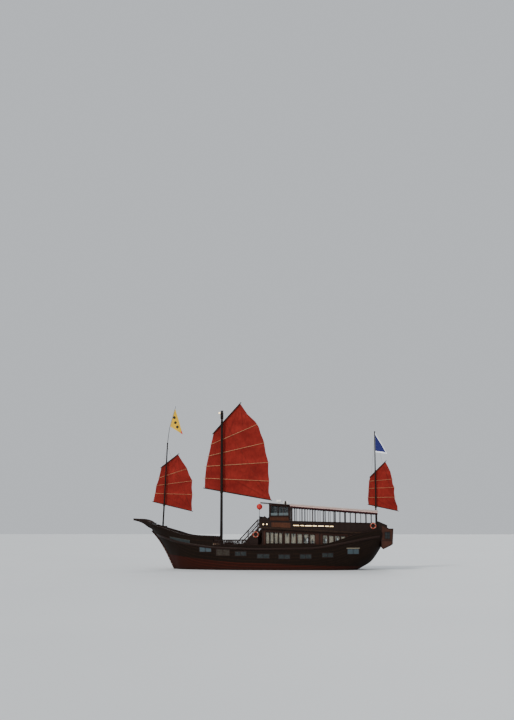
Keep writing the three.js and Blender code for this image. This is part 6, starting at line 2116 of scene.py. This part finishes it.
@dataclass(frozen=True)
class LugSail:
    """A battened lug sail on the starboard side of its mast, with its yard, boom, parrels and lines.

    Each panel between two spars is a grid whose rows run from the luff to the leech. It billows to starboard as
    the sine of its height in the panel, the leech draws in between battens by a shallow arc, and creases fan from
    the peak and clew. Battens, yard and boom are each the x and z of two ends.
    """

    name: str
    body: Body
    mast: Mast
    luff: Line
    leech: Line
    battens: tuple[Spar, ...]
    yard: Spar
    boom: Spar
    spar: float
    batten: float
    billow: float
    fan: float = 0.0
    halyard: float = 0.35

    @property
    def spar_y(self) -> float:
        """The y of the yard's and boom's axes."""
        return self.mast.r0 + 0.022 + self.spar

    @property
    def plane(self) -> float:
        """The y of the cloth."""
        return self.spar_y + self.spar + 0.0123

    @staticmethod
    def crossing(edge: Array, line: Spar) -> int:
        """The number of the edge's point nearest to a spar's line."""
        x0, z0, x1, z1 = line
        away = (edge[:, 0] - x0) * (z1 - z0) - (edge[:, 1] - z0) * (x1 - x0)
        return int(np.argmin(np.abs(away)))

    def mast_height(self, line: Spar) -> float:
        """The height at which a spar's line crosses the mast."""
        x0, z0, x1, z1 = line
        steep, m = (z1 - z0) / (x1 - x0), self.mast
        return (z0 + steep * (m.x - m.rake * m.foot - x0)) / (1 - steep * m.rake)

    def panels(self, rows: int = 22, cols: int = 60, fine: int = 400) -> tuple[Array, Array, Array]:
        """The cloth's points, its flat uv and the depth of its folds for the painted crease shade, panel after panel,
        rows shared at each batten.

        The luff and the leech are each divided into fine points at even steps of their length.
        """
        luff, leech = (even(np.array(edge), fine)[0] for edge in (self.luff, self.leech))
        last = (fine - 1, fine - 1)
        ends = [(0, 0), *((self.crossing(luff, b), self.crossing(leech, b)) for b in self.battens), last]
        at, u = np.arange(fine), np.linspace(0, 1, cols)
        v = np.linspace(0, 1, rows)[:, None]
        arch = np.sin(np.pi * v)
        made = []
        for n, (a, b) in enumerate(zip(ends, ends[1:])):
            i, j = (start + (end - start) * v for start, end in zip(a, b))
            fore, aft = (
                meet(np.interp(row, at, edge[:, 0]), np.interp(row, at, edge[:, 1]))
                for row, edge in ((i, luff), (j, leech))
            )
            first = min(n, 1)
            aft[..., 0] -= 0.05 * arch**2 * first
            flat = fore * (1 - u)[:, None] + aft * u[:, None]
            bulge = arch**0.8 * np.sin(np.pi * np.clip(u, 0.02, 0.98)) ** 0.35
            ripple = 0.12 * np.sin(2 * np.pi * (2.3 * u + 0.31 * n)) * arch
            fold = self.creases(flat, n, len(ends) - 1) * arch**0.5
            out = self.plane + self.billow * (bulge + ripple) + self.fan * fold
            points = meet(flat[..., 0], out, flat[..., 1])
            made.append([part[first:] for part in (points, flat, np.clip(-fold, 0, 1))])
        return tuple(np.concatenate(parts) for parts in zip(*made))

    def creases(self, flat: Array, number: int, count: int) -> Array:
        """Folds that fan from the clew in the lowest panel and from the peak in the highest one.

        Their height is 2 |sin(many * bearing / 2)|^0.6 - 1, and fades with the distance from the corner.
        """
        peak, clew = self.leech[0], self.leech[-1]
        corner, many, share = {count - 1: (clew, 19, 1.0), 0: (peak, 13, 0.7)}.get(number, (clew, 9, 0.25))
        x, z = np.moveaxis(flat - corner, -1, 0)
        fold = 2 * np.abs(np.sin(many * np.arctan2(z, x) / 2)) ** 0.6 - 1
        return share * fold * np.exp(-((np.hypot(x, z) / math.dist(clew, self.luff[-1])) ** 2) * 2.2)

    def make_cloth(self) -> None:
        """The cloth as one thick sheet, carrying the depth of its folds for the painted crease shade."""
        points, flat, folds = self.panels()
        sheet = shell(points, (0, 0.006, 0), flat)
        # The fold depth on both faces sets the painted shade in the creases.
        sheet.values = {"fold": np.tile(folds.ravel(), 2)}
        cloth = build(f"{self.name}_sail_cloth", sheet, SAIL, (f"{self.name}_sail",), self.body, 60)
        area_of(points)

    def make_battens(self) -> None:
        """Bamboo battens along the mast's side of the cloth, with lashings."""
        y = self.plane - 0.008 - self.batten * 0.5
        s = np.linspace(0, 1, 40)
        nodes = np.abs((s * 9) % 1 - 0.5) > 0.46
        radius = self.batten * 0.5 * (1 + 0.12 * nodes) * (1.1 - 0.25 * s)
        poles, ties = [], []
        for x0, z0, x1, z1 in self.battens:
            poles.append(tube(meet(x0 + (x1 - x0) * s, y, z0 + (z1 - z0) * s), radius, 10))
            run = np.array([x1 - x0, 0, z1 - z0])
            for t in np.linspace(0.04, 0.96, max(int(np.linalg.norm(run) / 0.55), 4)):
                centre = (x0, y + self.batten * 0.15, z0) + run * t
                ties.append(hoop(centre, run, self.batten * 0.72, 0.012, 6, 14))
        build(f"{self.name}_battens", poles, BATTEN, body=self.body)
        build(f"{self.name}_batten_lashings", ties, ROPE, body=self.body)

    def spar_pole(self, line: Spar, fat: float) -> Surface:
        """A spar thickest a little below its middle."""
        x0, z0, x1, z1 = line
        s = np.linspace(0, 1, 36)
        radius = self.spar * (0.72 + 0.28 * np.sin(np.pi * np.clip(s * 0.94 + 0.03, 0, 1)) ** 0.7) * fat
        path = meet(x0 + (x1 - x0) * s, self.spar_y + self.spar - radius, z0 + (z1 - z0) * s)
        return tube(path, radius, 16)

    def robands(self, line: Spar, gap: float = 0.32) -> list[Surface]:
        """Lashings of the cloth round a spar."""
        x0, z0, x1, z1 = line
        run, start = np.array([x1 - x0, 0, z1 - z0]), np.array([x0, self.spar_y + 0.006, z0])
        places = np.linspace(0.05, 0.95, int(np.linalg.norm(run) / gap))
        return [hoop(start + run * t, run, self.spar + 0.008, 0.014, 6, 20) for t in places]

    def parrel(self, line: Spar, drop: float, rise: float, thick: float = 0.03) -> list[Surface]:
        """Turns of rope round the mast from the spar, clear of the mast by a running gap."""
        z, t = self.mast_height(line), around(49, closed=True)
        turns = []
        for height in np.arange(z - drop + thick / 2, z + rise - thick / 2 + 1e-6, thick * 0.98):
            r = self.mast.radius(height) + 0.008 + thick / 2
            push = np.clip(np.sin(t), 0, 1) ** 3 * max(self.spar_y - r - self.spar * 0.1, 0.0)
            path = meet(self.mast.at(height) + r * np.cos(t), r * np.sin(t) + push, height)
            turns.append(tube(path, thick / 2, 7))
        return turns

    def make_spars(self) -> None:
        """Yard and boom, their lashings, parrels, the battens' light parrels and the lines to the masthead."""
        for spar, line, fat in (("yard", self.yard, 1.0), ("boom", self.boom, 0.9)):
            name = f"{self.name}_{spar}"
            build(f"{name}_pole", self.spar_pole(line, fat), SPAR, (name,), self.body)
        build(f"{self.name}_robands", self.robands(self.yard) + self.robands(self.boom), ROPE, body=self.body)
        turns = self.parrel(self.yard, 0.045, 0.045) + self.parrel(self.boom, 0.12, 0.045)
        for line in self.battens:
            turns += self.parrel(line, 0.02, 0.02, 0.022)
        build(f"{self.name}_parrels", turns, DARK_ROPE, body=self.body)
        build(f"{self.name}_lines", self.lines(), DARK_ROPE, body=self.body)

    def lines(self) -> list[Surface]:
        """The halyard from the yard to below the masthead, and lifts from there to the boom's ends."""
        m = self.mast
        top, z = m.head - self.halyard, self.mast_height(self.yard)
        r = m.radius(top) + 0.02
        high, yard = np.array([m.at(top), r, top]), np.array([m.at(z), self.spar_y, z])
        t = around(33, closed=True)
        loop = meet(m.at(top) + r * np.cos(t), r * np.sin(t), top)
        made = [tube(np.linspace(yard, high, 8), 0.014, 6), tube(loop, 0.014, 6)]
        x0, z0, x1, z1 = self.boom
        s = np.linspace(0, 1, 24)[:, None]
        for x, z in ((x1 - 0.1, z1), (x0 + 0.1, z0)):
            end = np.array([x, self.spar_y - self.spar, z])
            sag = np.array([0, 0, -0.25]) * np.sin(np.pi * s) * np.linalg.norm(end - high) / 12
            made.append(tube(high * (1 - s) + end * s + sag, 0.006, 6))
        return made

    def make(self) -> None:
        """Builds the whole rig of one mast."""
        self.make_cloth()
        self.make_battens()
        self.make_spars()


@dataclass(frozen=True)
class MastWork:
    """A fixed mast with its bands, the collar that carries the boom, a truck, and its staff."""

    sail: LugSail
    staff: Line = ()
    hounds: bool = False

    def make(self) -> None:
        """Builds the pole and its fittings."""
        m, name = self.sail.mast, self.sail.name
        top, x_head, axis = self.sail.mast_height(self.sail.boom) - 0.12 - SEATED, m.at(m.head), (m.rake, 0, 1)
        r = m.radius(top) + 0.05
        collar = [(r - 0.03, -0.045), (r - 0.008, -0.038), (r, -0.02), (r, -0.004), (r - 0.006, 0.0), (r - 0.05, 0.0)]
        truck = [(1.5, -0.02), (1.55, 0.0), (1.5, 0.03), (1.1, 0.055)]
        truck = [(0.02, -0.02), *((m.r1 * share, z) for share, z in truck), (0.02, 0.06)]
        wood = [
            m.pole(),
            turned(collar, (m.at(top), 0, top), axis, 32),
            turned(truck, (x_head, 0, m.head), axis, 24),
        ]
        if self.hounds:
            for side in Side:
                a = (x_head - 0.15, side.value * (m.r1 - 0.01), m.head - 0.85)
                b = (x_head + 0.15, side.value * (m.r1 + 0.045), m.head - 0.15)
                wood.append(block(a, b, 0.03))
        if self.staff:
            path = curve([(x, 0, z) for x, z in self.staff], 40)
            wood.append(tube(path, np.linspace(0.03, 0.016, 40), 12))
            tip = [(0.016, 0), (0.035, 0.012), (0.04, 0.03), (0.03, 0.05), (0.01, 0.06)]
            wood.append(turned(tip, path[-1], sides=14))
        build(f"{name}_mast_pole", wood, SPAR, (f"{name}_mast",))
        bands = (m.head - 0.1, m.head - 0.6, m.foot + 0.25, m.foot + 1.2)
        build(f"{name}_mast_bands", (m.band(z) for z in bands), IRON)


@dataclass(frozen=True)
class Streamer:
    """A triangular flag on its hoist, rippling to both sides and drooping at the tip.

    Rows run down the hoist. Each row runs straight to the tip, and y is a travelling sine that grows with the
    distance from the hoist.
    """

    name: str
    hoist: tuple[tuple[float, float], tuple[float, float]]
    tip: tuple[float, float]
    finish: Pennant
    node: str
    wave: float
    spots: Line = ()
    border: bool = False

    def make(self) -> None:
        """Builds the flag."""
        v, u = np.linspace(0, 1, 48)[:, None], np.linspace(0, 1, 96)
        top, foot, tip = (np.array(p, float) for p in (*self.hoist, self.tip))
        edge = top + (foot - top) * v[..., None]
        x, z = np.moveaxis(edge * (1 - u[:, None]) + tip * u[:, None], -1, 0)
        y = self.wave * u**0.8 * np.sin(2 * np.pi * (1.15 * u + 0.12 * v)) * (1 - 0.25 * u)
        points = meet(x, y, z - 0.03 * np.sin(3 * np.pi * u) * (1 - v))
        surface = shell(points, (0, 0.003, 0), meet(u, v))
        far = u + 0 * v
        if self.border:
            from_edge = np.minimum(v, 1 - v) * (1 - u) * np.linalg.norm(foot - top)
            far = np.maximum(np.clip(1.0 - from_edge / 0.3, 0, 1), np.clip((u - 0.8) * 6, 0, 1))
        spot = 0 * x
        for spot_x, spot_z in self.spots:
            spot = np.maximum(spot, np.exp(-((x - spot_x) ** 2 + (z - spot_z) ** 2) / 0.19**2))
        surface.values = {"tip": np.tile(far.ravel(), 2), "spot": np.tile(spot.ravel(), 2)}
        flag = build(self.name, surface, self.finish, (self.node,), crease=80)


# The whole boat

FORE_SAIL = LugSail(
    "fore",
    Body.FORE,
    Mast(-10.77, 3.7, 13.5, 0.095, 0.06, 0.0434),
    luff=((-11.038, 10.911), (-11.34, 9.54), (-11.58, 8.88), (-11.69, 8.04), (-11.88, 7.18)),
    leech=(
        (-9.217, 12.309), (-8.71, 11.52), (-8.27, 10.9), (-7.94, 10.19), (-7.62, 9.48), (-7.58, 7.99), (-7.61, 6.16),
    ),
    battens=((-11.46, 9.7, -8.16, 10.74), (-11.68, 8.9, -7.54, 9.43), (-11.82, 8.07, -7.44, 7.93)),
    yard=(-11.13, 10.83, -9.08, 12.4),
    boom=(-12.0, 7.19, -7.48, 6.11),
    spar=0.045,
    batten=0.03,
    billow=0.04,
    fan=0.014,
)
MAIN_SAIL = LugSail(
    "main",
    Body.MAIN,
    Mast(-4.35, MAIN_DECK, 17.0, 0.16, 0.11),
    luff=((-5.3, 14.64), (-5.59, 13.36), (-5.85, 12.15), (-6.1, 10.95), (-6.23, 9.65), (-6.24, 8.59)),
    leech=(
        (-2.39, 17.86), (-1.56, 16.65), (-0.69, 15.83), (-0.3, 15.22), (0.2, 13.79), (0.43, 12.67), (0.72, 11.37),
        (0.8, 9.35), (0.8, 8.11), (1.0, 7.33),
    ),
    battens=(
        (-5.68, 13.34, -0.44, 15.56), (-6.0, 12.08, 0.32, 13.52), (-6.26, 10.98, 0.9, 11.39), (-6.4, 9.71, 0.98, 9.35),
    ),
    yard=(-5.42, 14.5, -2.27, 17.98),
    boom=(-6.4, 8.64, 1.12, 7.29),
    spar=0.062,
    batten=0.045,
    billow=0.07,
    fan=0.035,
    halyard=0.6,
)
MIZZEN_SAIL = LugSail(
    "mizzen",
    Body.MIZZEN,
    Mast(12.25, 3.76, 14.6, 0.085, 0.05),
    luff=((11.72, 9.83), (11.57, 9.32), (11.42, 7.37), (11.47, 6.8)),
    leech=(
        (13.34, 11.38), (13.56, 11.0), (13.88, 10.31), (14.09, 9.32), (14.28, 8.5), (14.29, 7.46), (14.6, 6.67),
        (14.56, 6.15),
    ),
    battens=((11.5, 9.3, 14.19, 9.52), (11.37, 8.52, 14.38, 8.64), (11.33, 7.56, 14.4, 7.6)),
    yard=(11.62, 9.7, 13.47, 11.51),
    boom=(11.37, 6.83, 14.7, 6.11),
    spar=0.042,
    batten=0.028,
    billow=0.035,
    fan=0.014,
)
FORE_STAFF = ((-10.35, 13.4), (-10.24, 14.4), (-10.1, 15.31), (-9.83, 16.3), (-9.5, 17.5))
PENNANT = Streamer(
    "pennant",
    ((-9.53, 17.3), (-10.06, 15.36)),
    (-8.66, 14.46),
    YELLOW,
    "fore_flag",
    0.1,
    ((-9.63, 16.35), (-9.5, 15.78), (-9.27, 15.28)),
)
STERN_FLAG = Streamer(
    "stern_flag", ((12.31, 14.48), (12.32, 12.4)), (13.6, 12.2), BLUE, "mizzen_flag", 0.09, border=True
)


def dress_solids() -> None:
    """Gives every solid its finish."""
    def sided(*names: str) -> list[str]:
        """The names of nodes of which there is one on each side."""
        return [f"{name}_{side.label}" for name in names for side in Side]

    rigs = [f"{m}_{p}" for m in ("fore", "main", "mizzen") for p in ("mast", "yard", "boom")]
    dress(["hull"], TARRED)
    dress(["keel", "stem", "rudder"], KEEL_TIMBER)
    dress(["bow_transom", "platform_rail", "canopy_beam_fore", "canopy_beam_aft", "windlass_barrel"], TRIM)
    dress(sided("bulwark", "bow_wing", "wale", "balustrade", "upper_side", "stair"), TRIM)
    dress(["saloon", "wheelhouse", "gallery", "helm"], CABIN)
    dress(["saloon_door", "wheelhouse_door"], JOINERY)
    dress(["upper_deck"], DECK)
    dress(sided("upper_bench"), SLATS)
    dress(["canopy"], CANVAS)
    dress(["valance"], VALANCE)
    dress(["wheelhouse_roof", "radome", "raft_canister"], GELCOAT)
    dress(sided("life_ring_fore", "life_ring_aft"), RING)
    dress(["windlass_frame"], IRON)
    dress(["propeller"], BRONZE)
    dress(["lantern"], PAPER)
    dress(["fore_sail", "main_sail", "mizzen_sail"], SAIL)
    dress(rigs, SPAR)
    dress(["fore_flag"], YELLOW)
    dress(["mizzen_flag"], BLUE)


def main() -> None:
    """Builds the boat and its stage."""
    logging.basicConfig(level=logging.INFO, format="%(message)s")
    dress_solids()
    Hull().make()
    SidePorts().make()
    for sail in (FORE_SAIL, MAIN_SAIL, MIZZEN_SAIL):
        sail.make()
        MastWork(sail, FORE_STAFF if sail is FORE_SAIL else (), sail is MAIN_SAIL).make()
    PENNANT.make()
    STERN_FLAG.make()
    for assembly in (Saloon, UpperDeck, Canopy, Wheelhouse, RoofGear, Rails, Gallery, BowWings, Windlass, SternGear):
        assembly().make()
    DeckGear().make()
    for side in Side:
        LifeRing(-0.35, side.value * 3.11, 3.66).make(f"fore_{side.label}")
        slope = math.atan(0.4 / 4.45)
        LifeRing(11.9, side.value * 2.9245, 4.56, turn=-side.value * slope).make(f"aft_{side.label}")
    Studio().make()


if __name__ == "__main__":
    main()
